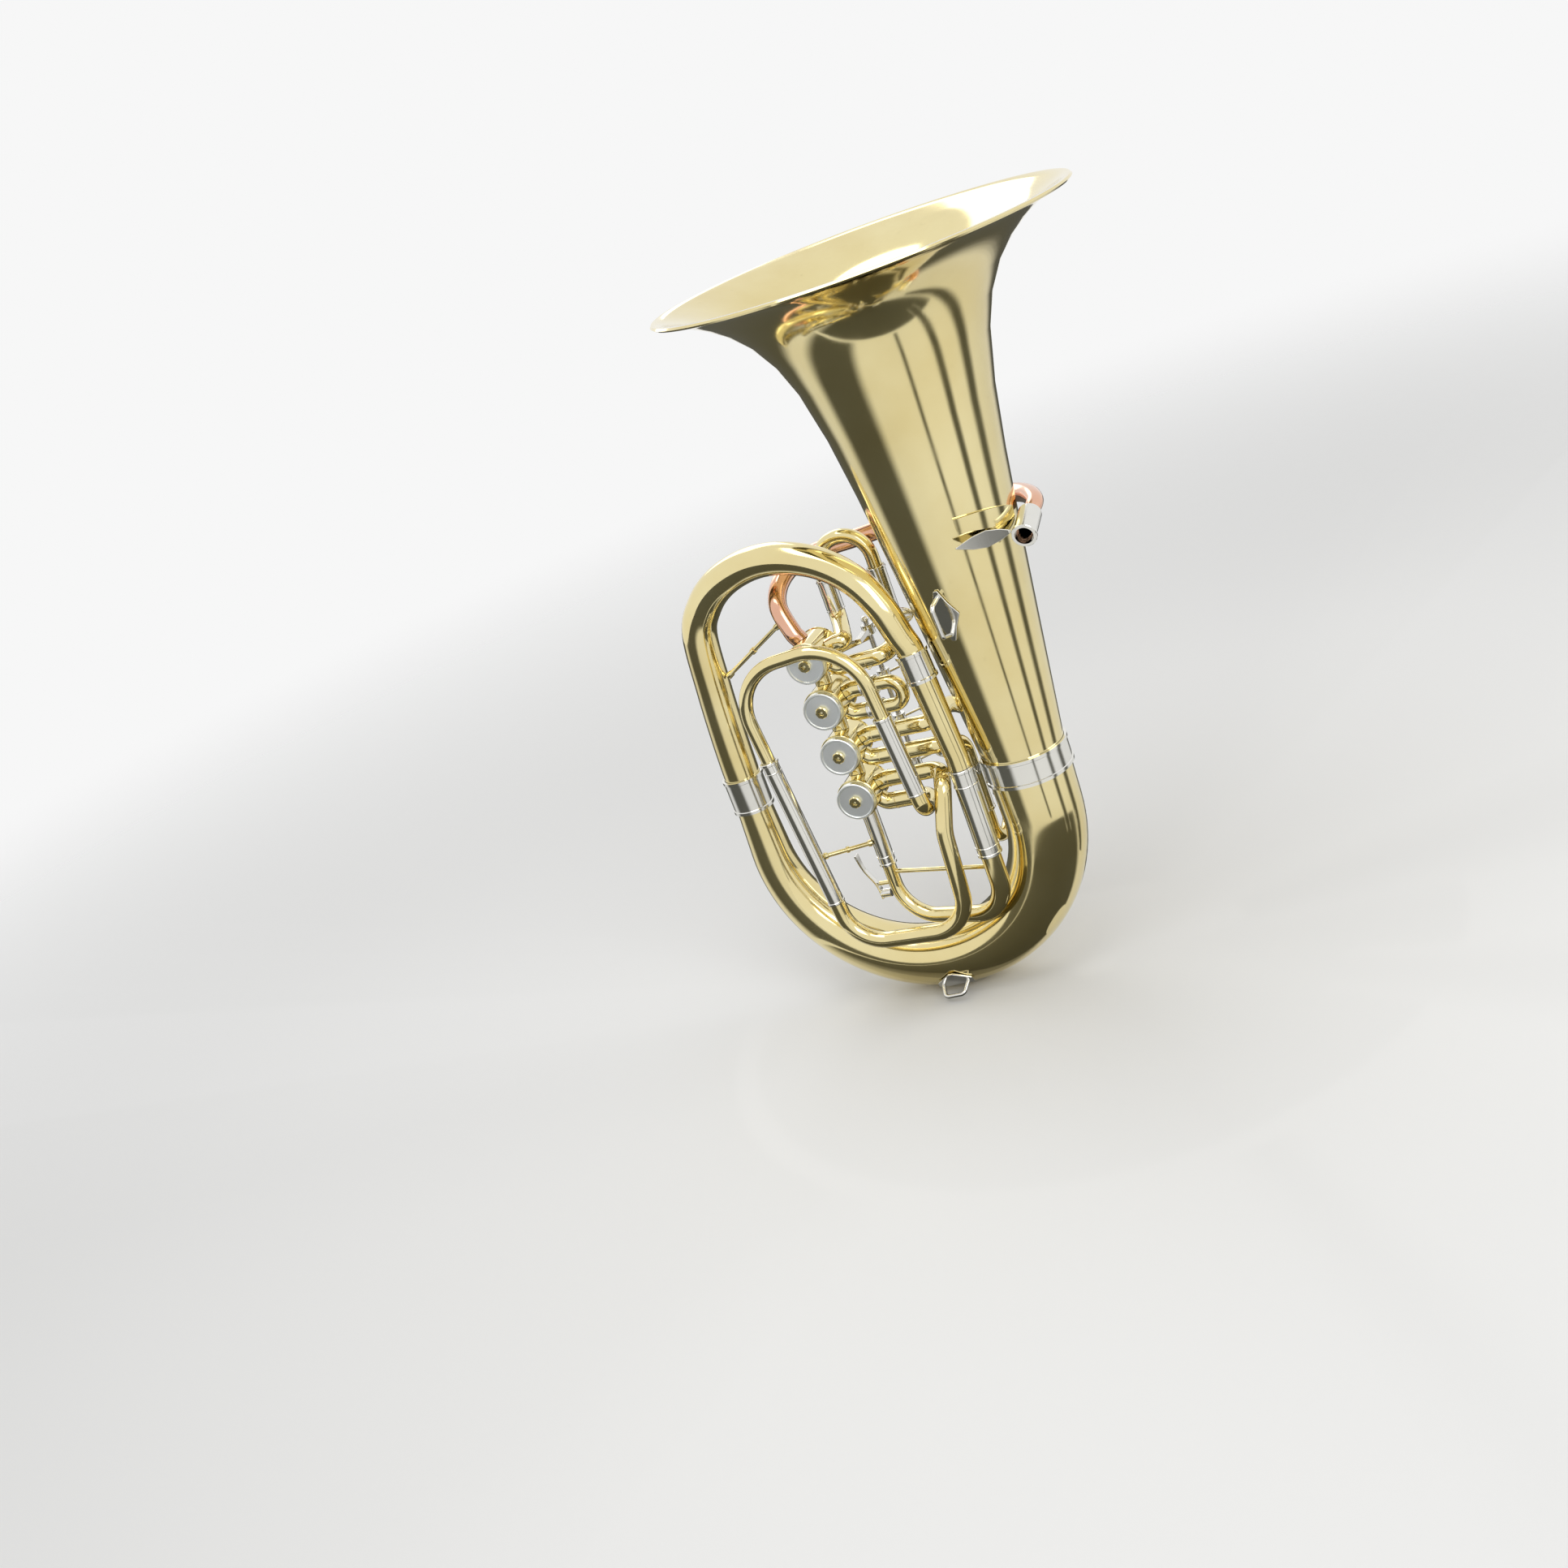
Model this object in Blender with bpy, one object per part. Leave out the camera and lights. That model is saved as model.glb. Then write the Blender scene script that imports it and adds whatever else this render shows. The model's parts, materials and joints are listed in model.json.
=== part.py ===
# Four-valve rotary euphonium with an oval wrap, built as separate tubes, slides, valves and levers.
# Sizes are in millimetres and become metres when each mesh is made.
# x runs right from the bell axis, y runs away from the valve caps, z runs up from the foot of the bow.
import math

import bmesh
import bpy
from mathutils import Vector

MM = 0.001

# Fits
GAP = 0.3
RUN_FIT = 0.15
TUBE_WALL = 0.6

# Heights that the rest stands on
BOW_CENTRE_Z = 150.0
BELL_FOOT_RISE = 50.0

# Bell
BELL_LENGTH = 380.0
RIM_Z = BOW_CENTRE_Z + BELL_FOOT_RISE + BELL_LENGTH
RIM_RADIUS = 150.0
BELL_THROAT_RADIUS = 32.0
BELL_TAPER = 0.102
BELL_FLARE_DEPTH = 30.0
BELL_FLARE_POWER = 0.9
BELL_WALL = 0.9
RIM_BEAD = 2.6
RIM_LIP = 2.8
BELL_SIDES = 28

# Big bows and branches
BOW_SPACING = 232.0
BOW_BOTTOM_RADIUS = 26.0
LEFT_RADIUS = 14.6
TOP_RADIUS = 13.6
TOP_END_RADIUS = 10.2
BRANCH_END_RADIUS = 8.8
BODY_WALL = 0.8
FERRULE_WALL = 1.2
FERRULE_BEAD = 0.8
BELL_FERRULE_LENGTH = 21.0
LEFT_FERRULE_LENGTH = 29.0
BRANCH_FERRULE_LENGTH = 23.0
LEFT_JOINT_Z = 205.0
TOP_BOW_Z = 389.0
BRANCH_JOINT = (-45.5, -33.0, 290.5)
BRANCH_FOOT = (-38.5, -35.0, 206.0)

# Valves
VALVE_X = -128.5
VALVE_1_Z = 309.3
VALVE_PITCH = 38.4
PORT_Y = -15.0
CASING_RADIUS = 15.5
CASING_WALL = 1.0
CASING_FRONT = -32.0
CASING_BACK = 2.0
BACK_WALL = 2.0
CAP_RADIUS = 15.0
CAP_DEPTH = 4.6
PORT_RADIUS = 5.2
UPPER_PORT_ANGLE = 15.0
LOWER_PORT_ANGLE = -40.0
LEADPIPE_PORT_ANGLE = 115.0
SPINDLE_RADIUS = 3.0
STOP_ARM_DEPTH = 3.6
STOP_ARM_RADIUS = 8.6
PIN_REACH = 6.4
PIN_RADIUS = 1.6
PIN_LENGTH = 0.6
CASING_SIDES = 16
ROTOR_SIDES = 12

# Lever action
AXLE_X = -100.0
AXLE_Y = 32.0
AXLE_RADIUS = 2.0
HUB_RADIUS = 5.0
HUB_HEIGHT = 8.0
ARM_WIDTH = 5.0
ARM_HEIGHT = 4.0
LINK_RADIUS = 1.5
LINK_NOSE = 0.9
LINK_NOSE_LENGTH = 2.0
LINK_SWING = 0.75
PADDLE_REACH = 34.0
PADDLE_RISE = 13.2
PADDLE_LENGTH = 22.0
PADDLE_WIDTH = 14.0
PADDLE_THICKNESS = 2.4
POST_RADIUS = 1.8
POST_X = 8.0
POST_DROP = 11.0

# Valve tubing
PORT_TUBE = 6.5
UPPER_PORT_DROP = 5.5
LOWER_PORT_DROP = -13.5
KNUCKLE_BEND = 9.0
LOOP_BEND = 11.0

# Slides
SLIDE_WALL = 0.5
SLEEVE_WALL = 0.7
SLEEVE_SIDES = 10
MAIN_LEFT = (-130.5, -15.0)
MAIN_SLEEVE_LOW = 132.0
MAIN_LEFT_LOW = 128.0
MAIN_RIGHT_RADIUS = 9.0
MAIN_LEG_TOP = 166.0
MAIN_BOW_Z = 80.0
MAIN_BOW_BEND = 30.0
MAIN_BRACE_Z = 121.0
BRACE_RADIUS = 1.8
FIRST_LEFT = (-113.0, 17.0)
FIRST_RIGHT = (-71.0, 17.0)
FIRST_SLEEVE_TOP = 356.0
FIRST_LEG_LOW = 332.0
FIRST_BOW_Z = 364.0
SECOND_SLEEVE_END = -88.0
SECOND_LEG_START = -103.0
SECOND_BOW_X = -80.0
THIRD_NEAR = (-46.0, 6.0)
THIRD_FAR = (-40.0, 34.0)
THIRD_SLEEVE_LOW = 150.0
THIRD_LEG_TOP = 186.0
THIRD_BOW_Z = 136.0
FOURTH_Y = -48.0
FOURTH_TILT = 5.0
FOURTH_LEFT_X = -168.5
FOURTH_LEFT_LOW = 118.0
FOURTH_LEFT_TOP = 245.0
FOURTH_RIGHT_X = -71.5
FOURTH_RIGHT_TOP = 262.0
FOURTH_LEG_HOLD = 40.0
FOURTH_TOP_RISE = 73.0
FOURTH_TOP_BEND = 42.0
FOURTH_LOW_Z = 79.0
FOURTH_LOW_BEND = 32.0
FOURTH_RISE_BEND = 45.0

# Water key
KEY_PIVOT = (-146.0, 112.0)
KEY_TIP = (-155.0, 140.0)
KEY_WIDTH = 5.0
KEY_THICKNESS = 1.8
KEY_PAD_RADIUS = 3.6
KEY_PAD_Z = 103.0

# Strap rings
STRAP_WIRE = 1.6
STRAP_STAND = 13.0
STRAP_PLATE = 1.6
UPPER_STRAP_Z = 326.0
UPPER_STRAP_HEIGHT = 40.0
UPPER_STRAP_WIDTH = 22.0
UPPER_STRAP_ANGLE = -99.5
LOWER_STRAP_ANGLE = 86.0
LOWER_STRAP_TILT = 28.0
LOWER_STRAP_WIDTH = 30.0

# Mouthpipe
LEADPIPE_RADIUS = 7.0
LEADPIPE_END_RADIUS = 6.0
LEADPIPE_LEAVE = 9.0
LEADPIPE_SWEEP = 34.0
LEADPIPE_TURN = (-114.0, 36.0)
LEADPIPE_FOLLOW = (-82.0, 42.0)
LEADPIPE_BACK_LEFT = (-42.0, 57.0)
LEADPIPE_BACK = (0.0, 64.0)
LEADPIPE_BACK_RIGHT = (40.0, 50.0)
LEADPIPE_RISE = 3.5
LEADPIPE_RUN_IN = 19.0
LEADPIPE_BRACE_RISE = 98.0
RECEIVER_RADIUS = 8.4
RECEIVER_BORE = 6.7
RECEIVER_INSERT = 6.0
RECEIVER_MOUTH = (59.5, -27.5, 364.0)
RECEIVER_ROOT = (60.0, -1.0, 371.5)

ROOT = bpy.data.objects


def clear_scene():
    """Remove whatever the scene holds."""
    for item in list(ROOT):
        ROOT.remove(item, do_unlink=True)


def metal(name, colour, roughness):
    """Return a metal material."""
    found = bpy.data.materials.get(name)
    if found:
        return found
    made = bpy.data.materials.new(name)
    made.use_nodes = True
    shader = made.node_tree.nodes["Principled BSDF"]
    shader.inputs["Base Color"].default_value = (*colour, 1.0)
    shader.inputs["Metallic"].default_value = 1.0
    shader.inputs["Roughness"].default_value = roughness
    return made


def brass():
    return metal("lacquered_brass", (0.86, 0.66, 0.28), 0.16)


def nickel():
    return metal("nickel_silver", (0.78, 0.77, 0.72), 0.16)


def copper():
    return metal("rose_brass", (0.80, 0.42, 0.26), 0.2)


def steel():
    return metal("steel", (0.55, 0.55, 0.56), 0.3)


def finish(name, work, material, pivot=None):
    """Close a bmesh into a named object whose origin is at pivot."""
    bmesh.ops.recalc_face_normals(work, faces=work.faces)
    shift = Vector(pivot) if pivot else Vector((0.0, 0.0, 0.0))
    for vert in work.verts:
        vert.co = (vert.co - shift) * MM
    mesh = bpy.data.meshes.new(name)
    work.to_mesh(mesh)
    work.free()
    mesh.shade_smooth()
    mesh.set_sharp_from_angle(angle=math.radians(40.0))
    mesh.materials.append(material)
    made = ROOT.new(name, mesh)
    made.location = shift * MM
    bpy.context.scene.collection.objects.link(made)
    return made


def skin(rings, looped, work=None):
    """Bridge rings of points; a looped run joins the last ring to the first, others get end caps."""
    work = work or bmesh.new()
    rows = [[work.verts.new(point) for point in ring] for ring in rings]
    pairs = list(zip(rows, rows[1:]))
    if looped:
        pairs.append((rows[-1], rows[0]))
    for low, high in pairs:
        for i in range(len(low)):
            j = (i + 1) % len(low)
            work.faces.new((low[i], low[j], high[j], high[i]))
    if not looped:
        work.faces.new(rows[0])
        work.faces.new(rows[-1])
    return work


def run(points, bend, steps=5):
    """Straight runs between points, with a round bend at each corner."""
    points = [Vector(p) for p in points]
    path = [points[0]]
    for a, b, c in zip(points, points[1:], points[2:]):
        back = (a - b).normalized()
        ahead = (c - b).normalized()
        turn = math.pi - back.angle(ahead)
        if turn < 0.02:
            path.append(b)
            continue
        reach = min(bend * math.tan(turn / 2.0), 0.49 * (a - b).length, 0.49 * (c - b).length)
        radius = reach / math.tan(turn / 2.0)
        inward = (back + ahead).normalized()
        centre = b + inward * (radius / math.cos(turn / 2.0))
        start = b + back * reach - centre
        axis = start.cross(b + ahead * reach - centre).normalized()
        side = axis.cross(start)
        count = max(2, round(steps * turn / (math.pi / 2.0)))
        for k in range(count + 1):
            angle = turn * k / count
            path.append(centre + start * math.cos(angle) + side * math.sin(angle))
    path.append(points[-1])
    return path


def sweep(start, leave, end, arrive, reach, count):
    """Points along a round bend that leaves and arrives in given directions."""
    first = start + leave * reach
    last = end - arrive * reach
    path = []
    for step in range(count + 1):
        done = step / count
        left = 1.0 - done
        path.append(left ** 3 * start + 3.0 * left ** 2 * done * first
                    + 3.0 * left * done ** 2 * last + done ** 3 * end)
    return path


def smooth(points, pieces):
    """A smooth curve through the given points."""
    pts = [Vector(p) for p in points]
    ends = [2 * pts[0] - pts[1]] + pts + [2 * pts[-1] - pts[-2]]
    path = []
    for a, b, c, d in zip(ends, ends[1:], ends[2:], ends[3:]):
        for k in range(pieces):
            t = k / pieces
            path.append(
                0.5 * ((2 * b) + (c - a) * t + (2 * a - 5 * b + 4 * c - d) * t**2
                       + (3 * b - a - 3 * c + d) * t**3)
            )
    path.append(pts[-1])
    return path


def travel(path):
    """Distance along a path at each of its points, from 0 to 1."""
    marks = [0.0]
    for a, b in zip(path, path[1:]):
        marks.append(marks[-1] + (b - a).length)
    return [mark / marks[-1] for mark in marks]


def frames(path, first):
    """Tangent and two side directions at each point, carried along without twist."""
    out = []
    normal = Vector(first)
    for i, point in enumerate(path):
        ahead = path[min(i + 1, len(path) - 1)] - point
        behind = point - path[max(i - 1, 0)]
        tangent = (ahead.normalized() + behind.normalized()).normalized()
        normal = (normal - tangent * normal.dot(tangent)).normalized()
        out.append((tangent, normal, tangent.cross(normal)))
    return out


def circle(centre, normal, side, radius, sides):
    """Points of a circle."""
    turn = 2.0 * math.pi / sides
    return [centre + (normal * math.cos(turn * i) + side * math.sin(turn * i)) * radius
            for i in range(sides)]


def radii_for(path, radius):
    """One radius for each point: a number, or pairs of share of length and radius."""
    if isinstance(radius, (int, float)):
        return [radius] * len(path)
    out = []
    for mark in travel(path):
        for (m0, r0), (m1, r1) in zip(radius, radius[1:]):
            if mark <= m1 + 1e-9:
                out.append(r0 + (r1 - r0) * (mark - m0) / (m1 - m0))
                break
    return out


def tube_rings(path, radius, wall, sides, first):
    """Outer rings out and inner rings back along a path."""
    sizes = radii_for(path, radius)
    outer = []
    inner = []
    for point, size, (_, normal, side) in zip(path, sizes, frames(path, first)):
        outer.append(circle(point, normal, side, size, sides))
        inner.append(circle(point, normal, side, size - wall, sides))
    return outer, inner


def tube(name, path, radius, wall, material, sides=SLEEVE_SIDES, first=(0, 1, 0), seats=(), pivot=None):
    """A hollow tube with open ends; a seat trims an end to fit round a valve casing."""
    path = [Vector(p) for p in path]
    outer, inner = tube_rings(path, radius, wall, sides, first)
    for end, centre_z in seats:
        direction = path[end] - path[1 if end == 0 else -2]
        for ring in (outer[end], inner[end]):
            ring[:] = [saddle(p, direction, centre_z) for p in ring]
    return finish(name, skin(outer + inner[::-1], True), material, pivot)


def saddle(point, direction, centre_z):
    """Slide a point along a direction until it lies one gap off the casing's round wall."""
    direction = direction.normalized()
    rel = Vector((point.x - VALVE_X, 0.0, point.z - centre_z))
    flat = Vector((direction.x, 0.0, direction.z))
    a = flat.dot(flat)
    b = rel.dot(flat)
    c = rel.dot(rel) - (CASING_RADIUS + GAP) ** 2
    root = math.sqrt(max(b * b - a * c, 0.0))
    return point + direction * ((-b - root) / a)


def rod(name, path, radius, material, sides=8, first=(0, 1, 0), pivot=None):
    """A solid round bar along a path."""
    path = [Vector(p) for p in path]
    return finish(name, skin(rod_rings(path, radius, sides, first), False), material, pivot)


def rod_rings(path, radius, sides, first):
    """Rings of a solid bar."""
    sizes = radii_for(path, radius)
    return [circle(p, n, s, r, sides) for p, r, (_, n, s) in zip(path, sizes, frames(path, first))]


def turned_rings(centre, axis, first, profile, sides):
    """Rings of a turned shape from pairs of distance along the axis and radius."""
    axis = Vector(axis).normalized()
    normal = Vector(first)
    normal = (normal - axis * normal.dot(axis)).normalized()
    side = axis.cross(normal)
    return [circle(Vector(centre) + axis * along, normal, side, radius, sides) for along, radius in profile]


def turned(name, centre, axis, first, profile, sides, material, looped=True, pivot=None):
    """A turned piece: looped for a ring, otherwise closed at both ends."""
    return finish(name, skin(turned_rings(centre, axis, first, profile, sides), looped), material, pivot)


def bell_radius(depth):
    """Outer radius of the bell at a depth below its rim."""
    flare = RIM_RADIUS - BELL_THROAT_RADIUS - BELL_LENGTH * BELL_TAPER
    cone = BELL_THROAT_RADIUS + max(BELL_LENGTH - depth, 0.0) * BELL_TAPER
    return cone + flare * math.exp(-((depth / BELL_FLARE_DEPTH) ** BELL_FLARE_POWER))


def bell_at(z):
    """Outer radius of the bell at a height."""
    return bell_radius(RIM_Z - z)


def make_bell():
    """Flared bell with a rolled rim, open at the throat."""
    tail = BELL_FERRULE_LENGTH / 2.0
    share = (0.0, 0.012, 0.03, 0.055, 0.09, 0.14, 0.2, 0.3, 0.42, 0.58, 0.78)
    depths = [RIM_LIP + s * (BELL_LENGTH - RIM_LIP) for s in share] + [BELL_LENGTH]
    outer = []
    inner = []
    for depth in depths:
        slope = (bell_radius(depth + 0.5) - bell_radius(depth - 0.5)) / 1.0
        size = math.hypot(1.0, slope)
        outer.append((depth, bell_radius(depth)))
        inner.append((depth + slope / size * BELL_WALL, bell_radius(depth) - BELL_WALL / size))
    end = BELL_LENGTH + tail - GAP / 2.0
    throat = bell_radius(BELL_LENGTH)
    outer.append((end, throat))
    inner.append((end, throat - BELL_WALL))
    rim = [
        (0.0, RIM_RADIUS - 2.0 * RIM_BEAD),
        (0.0, RIM_RADIUS - 0.5 * RIM_BEAD),
        (0.5 * RIM_BEAD, RIM_RADIUS),
        (RIM_BEAD, RIM_RADIUS - 0.5 * RIM_BEAD),
    ]
    profile = rim + outer + inner[::-1]
    turned("bell", (0, 0, RIM_Z), (0, 0, -1), (1, 0, 0), profile, BELL_SIDES, brass())


def ferrule(name, centre, axis, length, radius, sides, first=(0, 1, 0)):
    """Plain sleeve round a tube of the given radius, with a bead at each edge."""
    half = length / 2.0
    bore = (radius + GAP) / math.cos(math.pi / sides)
    wall = bore + FERRULE_WALL
    bead = wall + FERRULE_BEAD
    band = 2.4
    slope = 0.5
    profile = [
        (-half, bore),
        (-half, bead),
        (-half + band, bead),
        (-half + band + slope, wall),
        (half - band - slope, wall),
        (half - band, bead),
        (half, bead),
        (half, bore),
    ]
    turned(name, centre, axis, first, profile, sides, nickel())


def bow_centre(angle):
    """Centre of the bottom bow at an angle round its half circle, from the bell side."""
    half = BOW_SPACING / 2.0
    return Vector((-half + half * math.cos(angle), 0.0, BOW_CENTRE_Z - half * math.sin(angle)))


def make_bottom_bow():
    """Conical bow from the bell throat round the foot to the left branch."""
    top = RIM_Z - BELL_LENGTH - BELL_FERRULE_LENGTH / 2.0 - GAP / 2.0
    steps = 14
    path = [Vector((0.0, 0.0, top)), Vector((0.0, 0.0, top - BELL_FERRULE_LENGTH / 2.0 - 2.0))]
    path += [bow_centre(math.pi * k / steps) for k in range(steps + 1)]
    end = LEFT_JOINT_Z - GAP / 2.0
    path += [Vector((-BOW_SPACING, 0.0, end - LEFT_FERRULE_LENGTH / 2.0 - 2.0)),
             Vector((-BOW_SPACING, 0.0, end))]
    marks = travel(path)
    low = 2 + steps // 2
    radius = [
        (0.0, BELL_THROAT_RADIUS),
        (marks[1], BELL_THROAT_RADIUS),
        (marks[low], BOW_BOTTOM_RADIUS),
        (marks[2 + steps], LEFT_RADIUS + 2.0),
        (marks[-2], LEFT_RADIUS),
        (1.0, LEFT_RADIUS),
    ]
    tube("bottom_bow", path, radius, BODY_WALL, brass(), sides=16)


def branch_axis():
    """Direction from the branch joint down to the main slide."""
    return (Vector(BRANCH_FOOT) - Vector(BRANCH_JOINT)).normalized()


def make_branches():
    """Ferrules, the top bow with the left branch, and the tapered branch to the main slide."""
    ferrule("bell_ferrule", (0, 0, RIM_Z - BELL_LENGTH - BELL_FERRULE_LENGTH / 2.0), (0, 0, -1),
            BELL_FERRULE_LENGTH, BELL_THROAT_RADIUS, 20)
    left = Vector((-BOW_SPACING, 0.0, LEFT_JOINT_Z))
    ferrule("left_ferrule", left, (0, 0, 1), LEFT_FERRULE_LENGTH, LEFT_RADIUS, 14)
    joint = Vector(BRANCH_JOINT)
    down = branch_axis()
    tail = BRANCH_FERRULE_LENGTH / 2.0
    high = TOP_BOW_Z
    points = [
        left + Vector((0.0, 0.0, GAP / 2.0)),
        left + Vector((0.2, 0.0, LEFT_FERRULE_LENGTH / 2.0 + 2.0)),
        left + Vector((1.8, 0.0, 50.0)),
        left + Vector((5.0, 0.0, 90.0)),
        (-221.0, -0.5, high - 48.0),
        (-207.0, -2.0, high - 26.0),
        (-187.0, -5.0, high - 11.0),
        (-161.0, -9.0, high - 2.0),
        (-135.0, -14.0, high),
        (-109.0, -19.0, high - 5.0),
        (-87.0, -24.0, high - 15.0),
        (-69.0, -28.0, high - 31.0),
        (-57.5, -31.0, high - 51.0),
        (-50.5, -32.2, high - 74.0),
        joint - down * (tail + 2.0),
        joint - down * (GAP / 2.0),
    ]
    size = [(0.0, LEFT_RADIUS), (0.06, LEFT_RADIUS), (0.4, TOP_RADIUS), (0.92, TOP_END_RADIUS + 0.6),
            (0.96, TOP_END_RADIUS), (1.0, TOP_END_RADIUS)]
    tube("top_bow", smooth(points, 2), size, BODY_WALL, brass(), sides=12)
    ferrule("branch_ferrule", joint, down, BRANCH_FERRULE_LENGTH, TOP_END_RADIUS, 12)
    foot = Vector(BRANCH_FOOT)
    path = [joint + down * (GAP / 2.0), joint + down * (tail + 3.0), foot + Vector((0, 0, 10.0)), foot]
    tube("tapered_branch", path,
         [(0.0, TOP_END_RADIUS), (0.17, TOP_END_RADIUS), (0.9, BRANCH_END_RADIUS),
          (1.0, BRANCH_END_RADIUS)], BODY_WALL, brass(), sides=12)


def hide(tool):
    """Keep a cutting or joining shape out of the model itself."""
    tool.hide_render = True
    tool.display_type = "WIRE"


def combine(base, tool, operation):
    """Join or cut one shape with another."""
    hide(tool)
    step = base.modifiers.new(tool.name, "BOOLEAN")
    step.operation = operation
    step.solver = "EXACT"
    step.object = tool


def slab(name, path, width, thickness, material, first=(0, 1, 0), pivot=None):
    """A flat bar along a path; width may change along it, thickness lies along the first direction."""
    path = [Vector(p) for p in path]
    widths = radii_for(path, width)
    rings = []
    for point, wide, (_, normal, side) in zip(path, widths, frames(path, first)):
        edge = side * (wide / 2.0)
        face = normal * (thickness / 2.0)
        rings.append([point - edge - face, point + edge - face, point + edge + face, point - edge + face])
    return finish(name, skin(rings, False), material, pivot)


def valve_z(number):
    """Height of a valve's axis."""
    return VALVE_1_Z - (number - 1) * VALVE_PITCH


def radial(angle):
    """Direction out from a valve axis, at an angle up from the right."""
    return Vector((math.cos(math.radians(angle)), 0.0, math.sin(math.radians(angle))))


def port_angles(number):
    """Angles of a casing's ports."""
    top = LEADPIPE_PORT_ANGLE if number == 1 else 90.0
    return (top, UPPER_PORT_ANGLE, LOWER_PORT_ANGLE, -90.0)


def make_casing(number):
    """Casing with a closed back, an open front and four ports."""
    z = valve_z(number)
    bore = CASING_RADIUS - CASING_WALL
    hole = SPINDLE_RADIUS + GAP
    back = CASING_BACK - BACK_WALL
    profile = [
        (CASING_FRONT, bore),
        (CASING_FRONT, CASING_RADIUS),
        (CASING_BACK, CASING_RADIUS),
        (CASING_BACK, hole),
        (back, hole),
        (back, bore),
    ]
    centre = Vector((VALVE_X, 0.0, z))
    casing = turned(f"valve_casing_{number}", centre, (0, 1, 0), (1, 0, 0), profile, CASING_SIDES, brass())
    work = bmesh.new()
    for angle in port_angles(number):
        out = radial(angle)
        start = centre + Vector((0.0, PORT_Y, 0.0)) + out * (bore - 1.3)
        rings = turned_rings(start, out, (0, 1, 0),
                             [(0.0, PORT_RADIUS), (2.0 * CASING_WALL + 3.0, PORT_RADIUS)], 12)
        skin(rings, False, work)
    combine(casing, finish(f"port_cutter_{number}", work, steel()), "DIFFERENCE")
    if number in (1, 4):
        add_post(casing, number)


def post_z(number):
    """Height of the axle post below a valve."""
    return valve_z(number) - POST_DROP


def add_post(casing, number):
    """Post from the casing's back to the lever axle."""
    z = post_z(number)
    axle = Vector((AXLE_X, AXLE_Y, z))
    root = Vector((VALVE_X + POST_X, CASING_BACK - 0.5 * BACK_WALL, z))
    knee = root + Vector((0.0, 12.0, 0.0))
    end = axle - (axle - knee).normalized() * (AXLE_RADIUS + 1.5 * GAP)
    post = rod(f"post_{number}", run([root, knee, end], 5.0, 4), POST_RADIUS, brass(), 8, (0, 0, 1))
    combine(casing, post, "UNION")


def make_cap(number):
    """Front cap: a dished disc with a raised rim and a bored boss."""
    face = CASING_FRONT - GAP
    front = face - CAP_DEPTH
    dish = front + 0.8
    profile = [
        (face, 0.6 * CAP_RADIUS),
        (face, CAP_RADIUS),
        (front + 0.6, CAP_RADIUS),
        (front, CAP_RADIUS - 0.6),
        (front, CAP_RADIUS - 1.6),
        (dish, CAP_RADIUS - 2.2),
        (dish, 4.2),
        (front - 0.6, 3.6),
        (front - 0.6, 1.4),
        (dish, 1.4),
    ]
    centre = (VALVE_X, 0.0, valve_z(number))
    turned(f"valve_cap_{number}", centre, (0, 1, 0), (1, 0, 0), profile, CASING_SIDES, nickel(),
           looped=False)


def make_rotor(number):
    """Rotor with two scooped passages and a spindle at each end."""
    z = valve_z(number)
    bore = (CASING_RADIUS - CASING_WALL) * math.cos(math.pi / CASING_SIDES)
    body = bore - RUN_FIT
    back = CASING_BACK - BACK_WALL - GAP
    front = CASING_FRONT + 3.5
    tip = CASING_BACK + GAP + STOP_ARM_DEPTH
    scoop = 5.0
    depth = back - front
    stations = [(front, 0.0), (front + 0.2 * depth, 0.0), (front + 0.34 * depth, 0.6), (PORT_Y, 1.0)]
    stations += [(back - 0.34 * depth, 0.6), (back - 0.2 * depth, 0.0), (back, 0.0)]
    centre = Vector((VALVE_X, 0.0, z))
    rings = turned_rings(centre, (0, 1, 0), (1, 0, 0),
                         [(CASING_FRONT + 1.0, SPINDLE_RADIUS), (front, SPINDLE_RADIUS)], ROTOR_SIDES)
    for along, share in stations:
        ring = []
        for i in range(ROTOR_SIDES):
            angle = 2.0 * math.pi * i / ROTOR_SIDES
            dip = max(0.0, math.cos(2.0 * angle)) ** 0.7
            radius = body - scoop * share * dip
            ring.append(centre + Vector((math.cos(angle) * radius, along, -math.sin(angle) * radius)))
        rings.append(ring)
    rings += turned_rings(centre, (0, 1, 0), (1, 0, 0), [(back, SPINDLE_RADIUS), (tip, SPINDLE_RADIUS)],
                          ROTOR_SIDES)
    finish(f"valve_rotor_{number}", skin(rings, False), nickel(), centre + Vector((0.0, PORT_Y, 0.0)))


def pin_offset():
    """Place of the stop arm's pin from the valve axis."""
    return radial(-45.0) * PIN_REACH


def make_stop_arm(number):
    """Stop arm behind the casing, with the pin that its link pushes."""
    z = valve_z(number)
    near = CASING_BACK + GAP
    far = near + STOP_ARM_DEPTH
    hole = SPINDLE_RADIUS + GAP
    profile = [(near, hole), (near, STOP_ARM_RADIUS), (far, STOP_ARM_RADIUS), (far, hole)]
    centre = Vector((VALVE_X, 0.0, z))
    arm = turned(f"stop_arm_{number}", centre, (0, 1, 0), (1, 0, 0), profile, ROTOR_SIDES, steel(),
                 pivot=centre)
    pin_path = [centre + pin_offset() + Vector((0.0, y, 0.0)) for y in (far - 1.0, far + PIN_LENGTH)]
    combine(arm, rod(f"pin_{number}", pin_path, PIN_RADIUS, steel(), 8, (1, 0, 0)), "UNION")


def link_y():
    """Depth of the push links."""
    return CASING_BACK + GAP + STOP_ARM_DEPTH + PIN_LENGTH + GAP + LINK_RADIUS


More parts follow.
